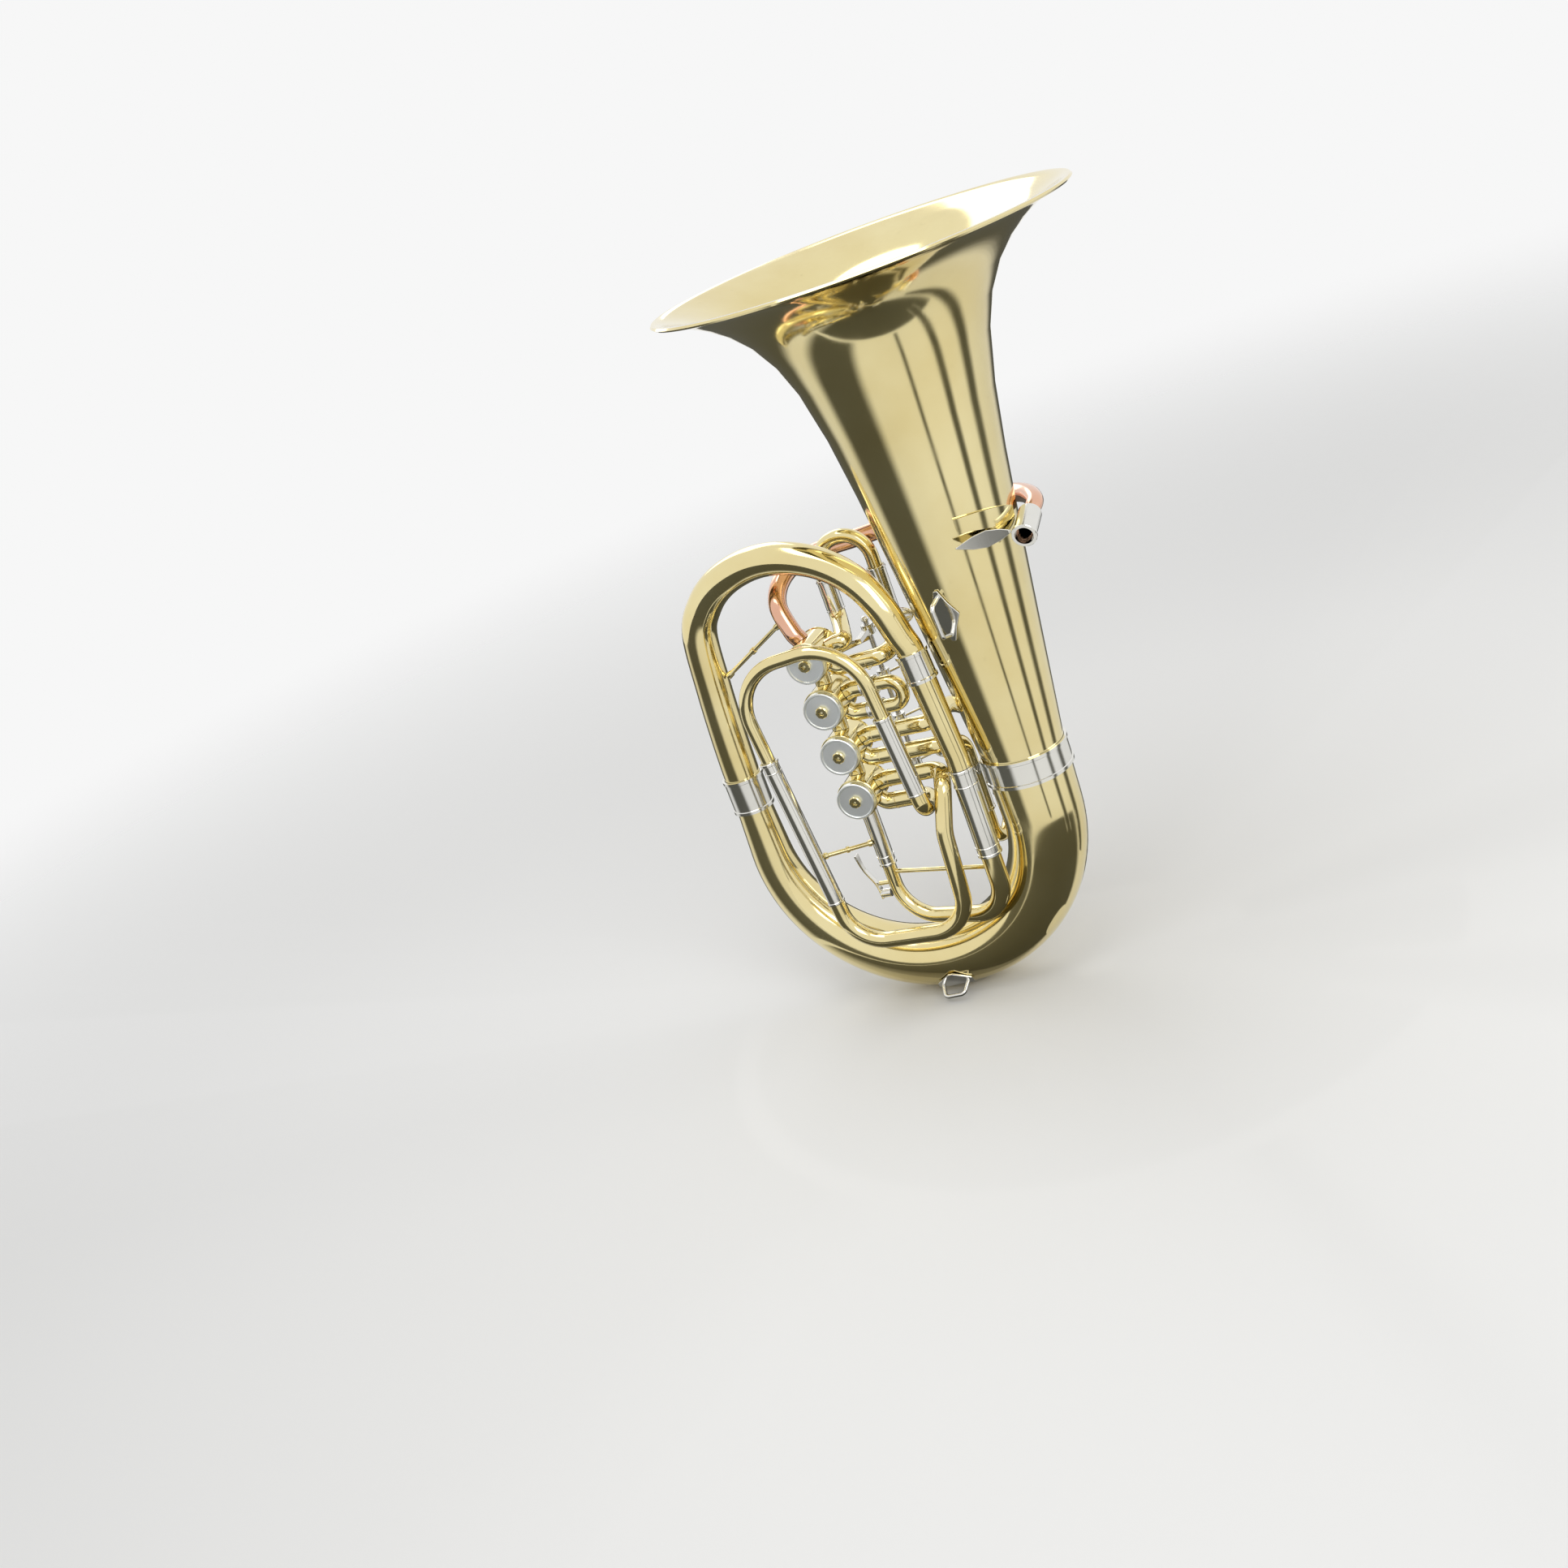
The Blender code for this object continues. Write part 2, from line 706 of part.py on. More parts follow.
def make_lever(number):
    """Lever with a hub on the axle, an arm to the link and a paddle."""
    z = valve_z(number) + pin_offset().z
    axle = Vector((AXLE_X, AXLE_Y, z))
    half = HUB_HEIGHT / 2.0
    hole = AXLE_RADIUS + GAP
    profile = [(-half, hole), (-half, HUB_RADIUS), (half, HUB_RADIUS), (half, hole)]
    lever = turned(f"lever_{number}", axle, (0, 0, 1), (1, 0, 0), profile, 12, nickel(), pivot=axle)
    tip = Vector((AXLE_X, link_y() - ARM_WIDTH / 2.0, z))
    root = axle - Vector((0.0, 0.5 * (HUB_RADIUS + hole), 0.0))
    arm = slab(f"arm_{number}", [tip, root], ARM_WIDTH, ARM_HEIGHT, nickel(), (0, 0, 1))
    combine(lever, arm, "UNION")
    end = axle + Vector((PADDLE_REACH, PADDLE_RISE, 0.0))
    start = end - Vector((PADDLE_LENGTH, 0.0, 0.0))
    side = Vector((start.x - axle.x + 3.0, PADDLE_RISE, 0.0)).normalized()
    stem_root = axle + side * (0.5 * (HUB_RADIUS + hole))
    stem = rod(f"stem_{number}", [stem_root, start + Vector((3.0, 0.0, 0.0))], 1.0, nickel(), 8, (0, 0, 1))
    combine(lever, stem, "UNION")
    shape = [(0.0, 0.6 * PADDLE_WIDTH), (0.25, PADDLE_WIDTH), (0.75, PADDLE_WIDTH),
             (1.0, 0.6 * PADDLE_WIDTH)]
    stops = [start + (end - start) * t for t in (0.0, 0.25, 0.75, 1.0)]
    combine(lever, slab(f"paddle_{number}", stops, shape, PADDLE_THICKNESS, nickel(), (0, 1, 0)), "UNION")


def make_link(number):
    """Push link from the lever's arm to the stop arm's pin."""
    z = valve_z(number) + pin_offset().z
    start = Vector((AXLE_X - ARM_WIDTH / 2.0 - LINK_SWING, link_y(), z))
    end = Vector((VALVE_X + pin_offset().x - PIN_RADIUS, link_y(), z))
    pivot = (AXLE_X, link_y(), z)
    neck = start - Vector((LINK_NOSE_LENGTH, 0.0, 0.0))
    share = LINK_NOSE_LENGTH / (start - end).length
    size = [(0.0, LINK_NOSE), (share, LINK_RADIUS), (1.0, LINK_RADIUS)]
    rod(f"link_{number}", [start, neck, end], size, steel(), 8, (0, 0, 1), pivot)


def make_valves():
    """Four valves with their action, and the tubes that join the casings."""
    for number in (1, 2, 3, 4):
        make_casing(number)
        make_cap(number)
        make_rotor(number)
        make_stop_arm(number)
        make_lever(number)
        make_link(number)
    low = Vector((AXLE_X, AXLE_Y, post_z(4) - 3.0))
    high = Vector((AXLE_X, AXLE_Y, valve_z(1) + pin_offset().z + HUB_HEIGHT))
    rod("lever_axle", [low, high], AXLE_RADIUS, steel(), 10, (1, 0, 0))
    for number in (1, 2, 3):
        z_top = valve_z(number) - CASING_RADIUS - GAP
        z_low = valve_z(number + 1) + CASING_RADIUS + GAP
        path = [Vector((VALVE_X, PORT_Y, z)) for z in (z_top, z_low)]
        seats = ((0, valve_z(number)), (-1, valve_z(number + 1)))
        tube(f"valve_link_{number}{number + 1}", path, PORT_TUBE, TUBE_WALL, brass(), seats=seats)


def leg_radius(sleeve_radius):
    """Radius of a slide leg that runs inside a sleeve."""
    return (sleeve_radius - SLEEVE_WALL) * math.cos(math.pi / SLEEVE_SIDES) - RUN_FIT


def port_start(number, angle, drop):
    """Start and knuckle corner of a tube that leaves a casing and then runs right."""
    centre = Vector((VALVE_X, PORT_Y, valve_z(number)))
    out = radial(angle)
    return [centre + out * (CASING_RADIUS + GAP + 0.5), centre + out * (drop / out.z)]


def upper_port(number):
    return port_start(number, UPPER_PORT_ANGLE, UPPER_PORT_DROP)


def lower_port(number):
    return port_start(number, LOWER_PORT_ANGLE, LOWER_PORT_DROP)


def port_tube(name, number, route, material):
    """Hollow tube that starts on a casing and follows a route."""
    path = run(route, LOOP_BEND, 3)
    tube(name, path, PORT_TUBE, SLEEVE_WALL, material, SLEEVE_SIDES, seats=((0, valve_z(number)),))


def main_leg_marks(path, low, top):
    """Shares of a slide's length where its bow starts and ends."""
    marks = travel(path)
    return marks[low], marks[top]


def make_main_slide():
    """Main tuning slide: two sleeves and a tapered bow with a brace and a water key."""
    foot = Vector(BRANCH_FOOT)
    right_x, right_y = foot.x, foot.y
    left_x, left_y = MAIN_LEFT
    tube("main_sleeve_right", [foot - Vector((0, 0, GAP)), (right_x, right_y, MAIN_SLEEVE_LOW)],
         MAIN_RIGHT_RADIUS,
         SLEEVE_WALL, nickel(), SLEEVE_SIDES)
    top = valve_z(4) - CASING_RADIUS - GAP
    tube("main_sleeve_left", [(left_x, left_y, top), (left_x, left_y, MAIN_LEFT_LOW)], PORT_TUBE,
         SLEEVE_WALL, nickel(),
         SLEEVE_SIDES, seats=((0, valve_z(4)),))
    points = [
        (left_x, left_y, MAIN_LEG_TOP),
        (left_x, left_y, MAIN_BOW_Z),
        (right_x, right_y, MAIN_BOW_Z),
        (right_x, right_y, MAIN_LEG_TOP),
    ]
    path = run(points, MAIN_BOW_BEND, 4)
    first, last = main_leg_marks(path, 1, -2)
    small = leg_radius(PORT_TUBE)
    large = leg_radius(MAIN_RIGHT_RADIUS)
    slide = tube("main_slide", path, [(0.0, small), (first, small), (last, large), (1.0, large)],
                 SLIDE_WALL, brass(), SLEEVE_SIDES)
    flat = math.cos(math.pi / SLEEVE_SIDES)
    small_face = small * flat - SLIDE_WALL / 2.0
    large_face = large * flat - SLIDE_WALL / 2.0
    across = (Vector((right_x, right_y, 0)) - Vector((left_x, left_y, 0))).normalized()
    brace = [
        Vector((left_x, left_y, MAIN_BRACE_Z)) + across * small_face,
        Vector((right_x, right_y, MAIN_BRACE_Z)) - across * large_face,
    ]
    combine(slide, rod("main_brace", brace, BRACE_RADIUS, brass(), 8, (0, 0, 1)), "UNION")
    pivot_x, pivot_z = KEY_PIVOT
    saddle_end = Vector((pivot_x + KEY_THICKNESS + GAP, left_y, pivot_z))
    saddle_root = Vector((left_x - small_face, left_y, pivot_z))
    combine(slide, rod("key_saddle", [saddle_root, saddle_end], BRACE_RADIUS, brass(), 8, (0, 0, 1)),
            "UNION")
    make_water_key(left_x - small, left_y)


def make_water_key(tube_edge, depth):
    """Water key that rocks beside the slide's left leg."""
    pivot = Vector((KEY_PIVOT[0], depth, KEY_PIVOT[1]))
    tip = Vector((KEY_TIP[0], depth, KEY_TIP[1]))
    tail = Vector((pivot.x + 2.0, depth, KEY_PAD_Z - KEY_PAD_RADIUS))
    shape = [(0.0, 1.4 * KEY_WIDTH), (0.3, KEY_WIDTH), (0.7, 0.8 * KEY_WIDTH), (1.0, 1.3 * KEY_WIDTH)]
    path = smooth([tail, pivot, 0.5 * (pivot + tip) + Vector((-2.0, 0, 0)), tip], 2)
    key = slab("water_key", path, shape, KEY_THICKNESS, nickel(), (1, 0, 0), pivot)
    pad_start = Vector((pivot.x + 1.2, depth, KEY_PAD_Z))
    pad_end = Vector((tube_edge - 2.0 * GAP, depth, KEY_PAD_Z))
    combine(key, rod("key_pad", [pad_start, pad_end], KEY_PAD_RADIUS, nickel(), 8, (0, 0, 1)), "UNION")


def bowed(name, start, low_corner, high_corner, end, radius, bend, first):
    """A slide: two legs and the bow between them."""
    return tube(name, run([start, low_corner, high_corner, end], bend, 4), radius, SLIDE_WALL, brass(),
                SLEEVE_SIDES, first)


def make_first_loop():
    """First valve loop: two sleeves behind the top bow and a slide that pulls up."""
    left_x, left_y = FIRST_LEFT
    right_x, right_y = FIRST_RIGHT
    high = upper_port(1)
    low = lower_port(1)
    route = high + [(left_x + 12.0, PORT_Y, high[1].z + 0.5), (left_x, left_y, high[1].z + 7.5),
                    (left_x, left_y, FIRST_SLEEVE_TOP)]
    port_tube("first_sleeve_left", 1, route, brass())
    route = low + [(right_x, PORT_Y, low[1].z + 2.0), (right_x, right_y, low[1].z + 6.0),
                   (right_x, right_y, FIRST_SLEEVE_TOP)]
    port_tube("first_sleeve_right", 1, route, brass())
    half = (right_x - left_x) / 2.0
    top = FIRST_BOW_Z + half
    bowed("first_slide", (left_x, left_y, FIRST_LEG_LOW), (left_x, left_y, top), (right_x, right_y, top),
          (right_x, right_y, FIRST_LEG_LOW), leg_radius(PORT_TUBE), half, (0, 1, 0))


def make_second_loop():
    """Second valve loop: two short sleeves and a slide that pulls right."""
    high = upper_port(2)
    low = lower_port(2)
    port_tube("second_sleeve_upper", 2, high + [(SECOND_SLEEVE_END, PORT_Y, high[1].z)], brass())
    port_tube("second_sleeve_lower", 2, low + [(SECOND_SLEEVE_END, PORT_Y, low[1].z)], brass())
    half = (high[1].z - low[1].z) / 2.0
    end = SECOND_BOW_X + half
    bowed("second_slide", (SECOND_LEG_START, PORT_Y, high[1].z), (end, PORT_Y, high[1].z),
          (end, PORT_Y, low[1].z),
          (SECOND_LEG_START, PORT_Y, low[1].z), leg_radius(PORT_TUBE), half, (0, 1, 0))


def make_third_loop():
    """Third valve loop: two long sleeves round behind the branch and a slide that pulls down."""
    near_x, near_y = THIRD_NEAR
    far_x, far_y = THIRD_FAR
    high = upper_port(3)
    low = lower_port(3)
    route = low + [(near_x - 6.0, PORT_Y, low[1].z), (near_x, near_y, low[1].z - 11.0),
                   (near_x, near_y, THIRD_SLEEVE_LOW)]
    port_tube("third_sleeve_near", 3, route, brass())
    route = high + [
        (far_x - 14.0, PORT_Y, high[1].z),
        (far_x - 13.0, far_y - 4.0, high[1].z - 2.0),
        (far_x, far_y, high[1].z - 23.0),
        (far_x, far_y, THIRD_SLEEVE_LOW),
    ]
    port_tube("third_sleeve_far", 3, route, brass())
    across = Vector((far_x - near_x, far_y - near_y, 0.0))
    half = across.length / 2.0
    low_z = THIRD_BOW_Z - half
    first = across.normalized().cross(Vector((0, 0, 1)))
    bowed("third_slide", (near_x, near_y, THIRD_LEG_TOP), (near_x, near_y, low_z), (far_x, far_y, low_z),
          (far_x, far_y, THIRD_LEG_TOP), leg_radius(PORT_TUBE), half, first)


def fourth_point(base_x, base_z, z):
    """Point on one of the fourth loop's leaning legs."""
    lean = math.tan(math.radians(FOURTH_TILT))
    return Vector((base_x - (z - base_z) * lean, FOURTH_Y, z))


def fourth_up():
    """Direction in which the fourth slide pulls."""
    tilt = math.radians(FOURTH_TILT)
    return Vector((-math.sin(tilt), 0.0, math.cos(tilt)))


def make_fourth_loop():
    """Fourth valve loop: the oval in front of the valves, whose top bow pulls up."""
    high = upper_port(4)
    low = lower_port(4)
    up = fourth_up()
    left_low = fourth_point(FOURTH_LEFT_X, FOURTH_LEFT_LOW, FOURTH_LEFT_LOW)
    left_top = fourth_point(FOURTH_LEFT_X, FOURTH_LEFT_LOW, FOURTH_LEFT_TOP)
    right_low = Vector((FOURTH_RIGHT_X, FOURTH_Y, low[1].z))
    right_top = fourth_point(FOURTH_RIGHT_X, low[1].z, FOURTH_RIGHT_TOP)
    tube("fourth_sleeve_left", [left_low, left_top], PORT_TUBE, SLEEVE_WALL, nickel(), SLEEVE_SIDES)
    route = low + [(right_low.x - 4.0, PORT_Y, low[1].z), right_low, right_top]
    port_tube("fourth_sleeve_right", 4, route, brass())
    left_corner = left_top + up * FOURTH_TOP_RISE
    across = Vector((math.cos(math.radians(FOURTH_TILT)), 0.0, math.sin(math.radians(FOURTH_TILT))))
    right_corner = left_corner + across * (right_top - left_top).dot(across)
    bowed("fourth_slide", left_top - up * FOURTH_LEG_HOLD, left_corner, right_corner,
          right_top - up * FOURTH_LEG_HOLD,
          leg_radius(PORT_TUBE), FOURTH_TOP_BEND, (0, 1, 0))
    start = left_low - up * GAP
    corner_left = fourth_point(FOURTH_LEFT_X, FOURTH_LEFT_LOW, FOURTH_LOW_Z)
    rise_x = FOURTH_RIGHT_X + 4.0
    route = [
        start,
        corner_left,
        (rise_x, FOURTH_Y, FOURTH_LOW_Z),
        (rise_x + 3.5, FOURTH_Y, FOURTH_LOW_Z + 59.0),
        (rise_x + 4.5, FOURTH_Y + 1.0, low[1].z - 20.0),
        (rise_x + 12.5, FOURTH_Y + 10.0, high[1].z - 3.5),
        (rise_x + 5.5, PORT_Y, high[1].z),
        high[1],
        high[0],
    ]
    lead_in = start + up * FOURTH_LOW_BEND
    bends = [start] + run([lead_in] + route[1:4], FOURTH_LOW_BEND, 4)[1:-1]
    bends += run(route[3:6], FOURTH_RISE_BEND, 5)[:-1]
    half_way = (Vector(route[4]) + Vector(route[5])) / 2.0
    bends += run([half_way] + route[5:], KNUCKLE_BEND + 3.0, 3)[1:]
    tube("fourth_lower_bow", bends, PORT_TUBE, TUBE_WALL, brass(), SLEEVE_SIDES, seats=((-1, valve_z(4)),))
    brace_z = left_low.z + 40.0
    a = fourth_point(FOURTH_LEFT_X, FOURTH_LEFT_LOW, brace_z)
    b = Vector((MAIN_LEFT[0], MAIN_LEFT[1], brace_z - 9.0))
    step = (b - a).normalized()
    ends = [a + step * (PORT_TUBE + 2.7 * GAP), b - step * (PORT_TUBE + 2.7 * GAP)]
    strut("fourth_brace", ends[0], ends[1])


def strut(name, start, end):
    """Round brace with a flange at each end and a bead in the middle."""
    along = end - start
    radius = [(0.0, 2.8), (0.06, 2.6), (0.08, BRACE_RADIUS), (0.47, BRACE_RADIUS), (0.475, 2.6),
              (0.525, 2.6), (0.53, BRACE_RADIUS)]
    radius += [(0.92, BRACE_RADIUS), (0.94, 2.6), (1.0, 2.8)]
    path = [start + along * share for share, _ in radius]
    rod(name, path, radius, brass(), 8, (0, 0, 1))


def make_mouthpipe():
    """Leadpipe from the first valve round behind the bell, with its receiver and fittings."""
    root = Vector(RECEIVER_ROOT)
    mouth = Vector(RECEIVER_MOUTH)
    inward = (mouth - root).normalized()
    centre = Vector((VALVE_X, PORT_Y, valve_z(1)))
    out = radial(LEADPIPE_PORT_ANGLE)
    leave = centre + out * (CASING_RADIUS + LEADPIPE_LEAVE)
    arrive = Vector((*LEADPIPE_TURN, root.z + 0.6 * LEADPIPE_RISE))
    follow = Vector((*LEADPIPE_FOLLOW, root.z + 0.85 * LEADPIPE_RISE))
    high = root.z + LEADPIPE_RISE
    points = [centre + out * (CASING_RADIUS + GAP + 0.3)]
    points += sweep(leave, out, arrive, (follow - arrive).normalized(), LEADPIPE_SWEEP, 4)
    points += [
        follow,
        (*LEADPIPE_BACK_LEFT, high),
        (*LEADPIPE_BACK, high),
        (*LEADPIPE_BACK_RIGHT, high),
        root - inward * LEADPIPE_RUN_IN + Vector((0.0, 0.0, -1.0)),
        root,
        root + inward * RECEIVER_INSERT,
    ]
    size = [(0.0, LEADPIPE_RADIUS), (0.88, LEADPIPE_RADIUS), (0.955, LEADPIPE_END_RADIUS),
            (1.0, LEADPIPE_END_RADIUS)]
    path = smooth(points, 2)
    tube("leadpipe", path, size, TUBE_WALL, copper(), SLEEVE_SIDES, (0, 1, 0), seats=((0, valve_z(1)),))
    tube("receiver", [root, mouth - inward * 6.0, mouth], RECEIVER_RADIUS,
         RECEIVER_RADIUS - RECEIVER_BORE, nickel(), SLEEVE_SIDES, (0, 0, 1))
    make_saddle(root)
    make_leaf(root, mouth)
    start = Vector((-BOW_SPACING + 6.4 + LEFT_RADIUS + 2.0 * GAP, -0.4, LEFT_JOINT_Z + LEADPIPE_BRACE_RISE))
    goal = (Vector(points[1]) + Vector(points[2])) * 0.5
    strut("leadpipe_brace", start, goal - (goal - start).normalized() * (LEADPIPE_RADIUS + 3.0 * GAP))


def make_saddle(root):
    """Curved saddle soldered round the bell beside the receiver."""
    steps = 8
    rings = []
    thick = 2.0
    for k in range(steps + 1):
        share = k / steps
        angle = math.radians(-66.0 + 56.0 * share)
        out = Vector((math.cos(angle), math.sin(angle), 0.0))
        middle = root.z + 17.0 - 10.0 * share
        half = 4.5 + 2.0 * math.sin(math.pi * share)
        ring = []
        for z, extra in ((middle - half, GAP), (middle - half, thick), (middle + half, thick),
                         (middle + half, GAP)):
            ring.append(out * (bell_at(z) + GAP + extra) + Vector((0.0, 0.0, z)))
        rings.append(ring)
    finish("receiver_saddle", skin(rings, False), brass())


def make_leaf(root, mouth):
    """Leaf-shaped plate beside the receiver's mouth."""
    reach = RECEIVER_RADIUS + 4.0 * GAP
    base = mouth + Vector((-0.88 * reach, 2.0, 0.48 * reach + 0.5))
    tip = base + Vector((-31.0, -31.5, 6.0))
    shape = [(0.0, 1.6), (0.2, 8.0), (0.45, 12.0), (0.7, 9.0), (0.9, 4.0), (1.0, 1.2)]
    path = [base + (tip - base) * share for share, _ in shape]
    slab("receiver_leaf", path, shape, 1.5, nickel(), (0.7, -0.7, 0.0))


def bail(start, end, out, stand):
    """Path of a wire loop that stands off a plate."""
    rise = Vector(out) * stand
    inset = (end - start).normalized() * 3.0
    return run([start, start + rise + inset, end + rise - inset, end], 4.0, 3)


def make_strap_rings():
    """Two soldered plates, each with a wire loop for a strap."""
    angle = math.radians(UPPER_STRAP_ANGLE)
    half = UPPER_STRAP_HEIGHT / 2.0
    rings = []
    for share in (-1.0, -0.5, 0.0, 0.5, 1.0):
        z = UPPER_STRAP_Z + half * share
        wide = max(0.5 * UPPER_STRAP_WIDTH * (1.0 - abs(share)), 1.5)
        sweep = wide / bell_at(z)
        ring = []
        for turn, extra in ((-1, GAP), (0, GAP), (1, GAP), (1, STRAP_PLATE), (0, STRAP_PLATE),
                            (-1, STRAP_PLATE)):
            a = angle + turn * sweep
            radius = bell_at(z) + GAP + extra
            ring.append(Vector((radius * math.cos(a), radius * math.sin(a), z)))
        rings.append(ring)
    plate = finish("upper_strap_ring", skin(rings, False), nickel())
    out = Vector((math.cos(angle), math.sin(angle), 0.0))
    feet = [UPPER_STRAP_Z - half + 5.0, UPPER_STRAP_Z + half - 5.0]
    low, high = [out * (bell_at(z) + GAP + 0.5 * (GAP + STRAP_PLATE)) + Vector((0, 0, z)) for z in feet]
    wire = rod("upper_loop", bail(low, high, out, STRAP_STAND), STRAP_WIRE, nickel(), 8, (1, 0, 0))
    combine(plate, wire, "UNION")
    make_lower_ring()


def make_lower_ring():
    """Strap ring on the front of the bottom bow."""
    turn = math.radians(LOWER_STRAP_ANGLE)
    middle = bow_centre(turn)
    tilt = math.radians(LOWER_STRAP_TILT)
    outward = (middle - Vector((-BOW_SPACING / 2.0, 0.0, BOW_CENTRE_Z))).normalized()
    out = (Vector((0, -1, 0)) * math.cos(tilt) + outward * math.sin(tilt)).normalized()
    along = Vector((-math.sin(turn), 0.0, -math.cos(turn)))
    up = along.cross(out).normalized()
    if up.z < 0.0:
        up = -up
    skin_radius = BOW_BOTTOM_RADIUS + 2.0 * GAP
    face = middle + out * (skin_radius + STRAP_PLATE / 2.0)
    half = LOWER_STRAP_WIDTH / 2.0
    shape = [(0.0, LOWER_STRAP_WIDTH), (0.5, LOWER_STRAP_WIDTH), (1.0, 4.0)]
    path = [face - up * 6.0, face, face + up * 9.0]
    plate = slab("lower_strap_ring", path, shape, STRAP_PLATE, nickel(), out)
    low = face - along * (half - 4.0) - up * 2.0
    high = face + along * (half - 4.0) - up * 2.0
    wire = rod("lower_loop", bail(low, high, out, STRAP_STAND), STRAP_WIRE, nickel(), 8, (0, 0, 1))
    combine(plate, wire, "UNION")


def settle():
    """Stand the whole instrument on its foot, centred over the origin."""
    shown = [item for item in ROOT if item.type == "MESH" and not item.hide_render]
    places = [item.location + vert.co for item in shown for vert in item.data.vertices]
    low = Vector([min(p[i] for p in places) for i in range(3)])
    high = Vector([max(p[i] for p in places) for i in range(3)])
    base = ROOT.new("euphonium_frame", None)
    bpy.context.scene.collection.objects.link(base)
    base.location = (-(low.x + high.x) / 2.0, -(low.y + high.y) / 2.0, -low.z)
    for item in ROOT:
        if item is not base and item.parent is None:
            item.parent = base


clear_scene()
make_bell()
make_bottom_bow()
make_branches()
make_valves()
make_main_slide()
make_first_loop()
make_second_loop()
make_third_loop()
make_fourth_loop()
make_mouthpipe()
make_strap_rings()
settle()
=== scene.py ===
# Dressed view of a four-valve rotary euphonium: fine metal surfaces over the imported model.
# Sizes are in millimetres in the design frame and become metres in the model's frame.
import json
from math import cos, exp, hypot, pi, radians, sin, sqrt, tan

import bmesh
import bpy
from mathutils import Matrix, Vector


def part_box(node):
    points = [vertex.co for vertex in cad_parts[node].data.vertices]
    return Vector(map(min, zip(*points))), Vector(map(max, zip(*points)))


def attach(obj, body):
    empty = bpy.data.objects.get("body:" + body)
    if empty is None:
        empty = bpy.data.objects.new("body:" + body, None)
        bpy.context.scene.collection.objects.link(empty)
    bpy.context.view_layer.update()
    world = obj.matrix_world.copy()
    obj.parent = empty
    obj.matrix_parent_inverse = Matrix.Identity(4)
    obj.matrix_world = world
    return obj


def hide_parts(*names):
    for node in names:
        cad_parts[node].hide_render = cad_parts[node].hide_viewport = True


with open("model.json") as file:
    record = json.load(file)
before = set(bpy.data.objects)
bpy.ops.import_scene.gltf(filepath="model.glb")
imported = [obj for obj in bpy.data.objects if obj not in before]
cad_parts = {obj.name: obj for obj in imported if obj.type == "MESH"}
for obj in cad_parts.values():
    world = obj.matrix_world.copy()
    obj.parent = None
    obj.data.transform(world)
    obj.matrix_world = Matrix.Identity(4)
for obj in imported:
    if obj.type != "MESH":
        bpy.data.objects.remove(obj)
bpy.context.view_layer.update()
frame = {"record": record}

MM = 0.001
RIGHT = Vector((1, 0, 0))
BACK = Vector((0, 1, 0))
UP = Vector((0, 0, 1))
FINE = 4
SHARP_ANGLE = 38

# Fits
GAP = 0.3
RUN_FIT = 0.15
TUBE_WALL = 0.6

# Bell
BOW_CENTRE_Z = 150
BELL_FOOT_RISE = 50
BELL_LENGTH = 380
RIM_Z = BOW_CENTRE_Z + BELL_FOOT_RISE + BELL_LENGTH
RIM_RADIUS = 150
BELL_THROAT_RADIUS = 32
BELL_TAPER = 0.102
BELL_FLARE_DEPTH = 30
BELL_FLARE_POWER = 0.9
BELL_WALL = 0.9
RIM_BEAD = 2.6
RIM_LIP = 2.8
BELL_SIDES = 160
BELL_STATIONS = (0, 0.012, 0.03, 0.055, 0.09, 0.14, 0.2, 0.3, 0.42, 0.58, 0.78)

# Big bows and branches
BOW_SPACING = 232
BOW_BOTTOM_RADIUS = 26
BOW_STEPS = 56
BOW_SIDES = 72
LEFT_RADIUS = 14.6
TOP_RADIUS = 13.6
TOP_END_RADIUS = 10.2
BRANCH_END_RADIUS = 8.8
BRANCH_SIDES = 56
BODY_WALL = 0.8
FERRULE_WALL = 1.2
FERRULE_BEAD = 0.8
FERRULE_BAND = 2.4
FERRULE_SLOPE = 0.5
BELL_FERRULE_LENGTH = 21
LEFT_FERRULE_LENGTH = 29
BRANCH_FERRULE_LENGTH = 23
FERRULE_CLEAR = 2
LEFT_JOINT_Z = 205
TOP_BOW_Z = 389
BRANCH_JOINT = Vector((-45.5, -33, 290.5))
BRANCH_FOOT = Vector((-38.5, -35, 206))

# Valves
VALVES = (1, 2, 3, 4)
VALVE_X = -128.5
VALVE_1_Z = 309.3
VALVE_PITCH = 38.4
PORT_Y = -15
CASING_RADIUS = 15.5
CASING_WALL = 1
CASING_FRONT = -32
CASING_BACK = 2
BACK_WALL = 2
CAP_RADIUS = 15
CAP_DEPTH = 4.6
CAP_LIP = 0.6
CAP_DISH = 0.8
UPPER_PORT_ANGLE = 15
LOWER_PORT_ANGLE = -40
LEADPIPE_PORT_ANGLE = 115
SPINDLE_RADIUS = 3
ROTOR_INSET = 3.5
ROTOR_SCOOP = 5
STOP_ARM_DEPTH = 3.6
STOP_ARM_BACK = CASING_BACK + GAP + STOP_ARM_DEPTH
STOP_ARM_RADIUS = 8.6
PIN_REACH = 6.4
PIN_X = PIN_REACH * cos(pi / 4)
PIN_Z = -PIN_X
PIN_RADIUS = 1.6
PIN_LENGTH = 0.6
CASING_SIDES = 64
ROTOR_SIDES = 32

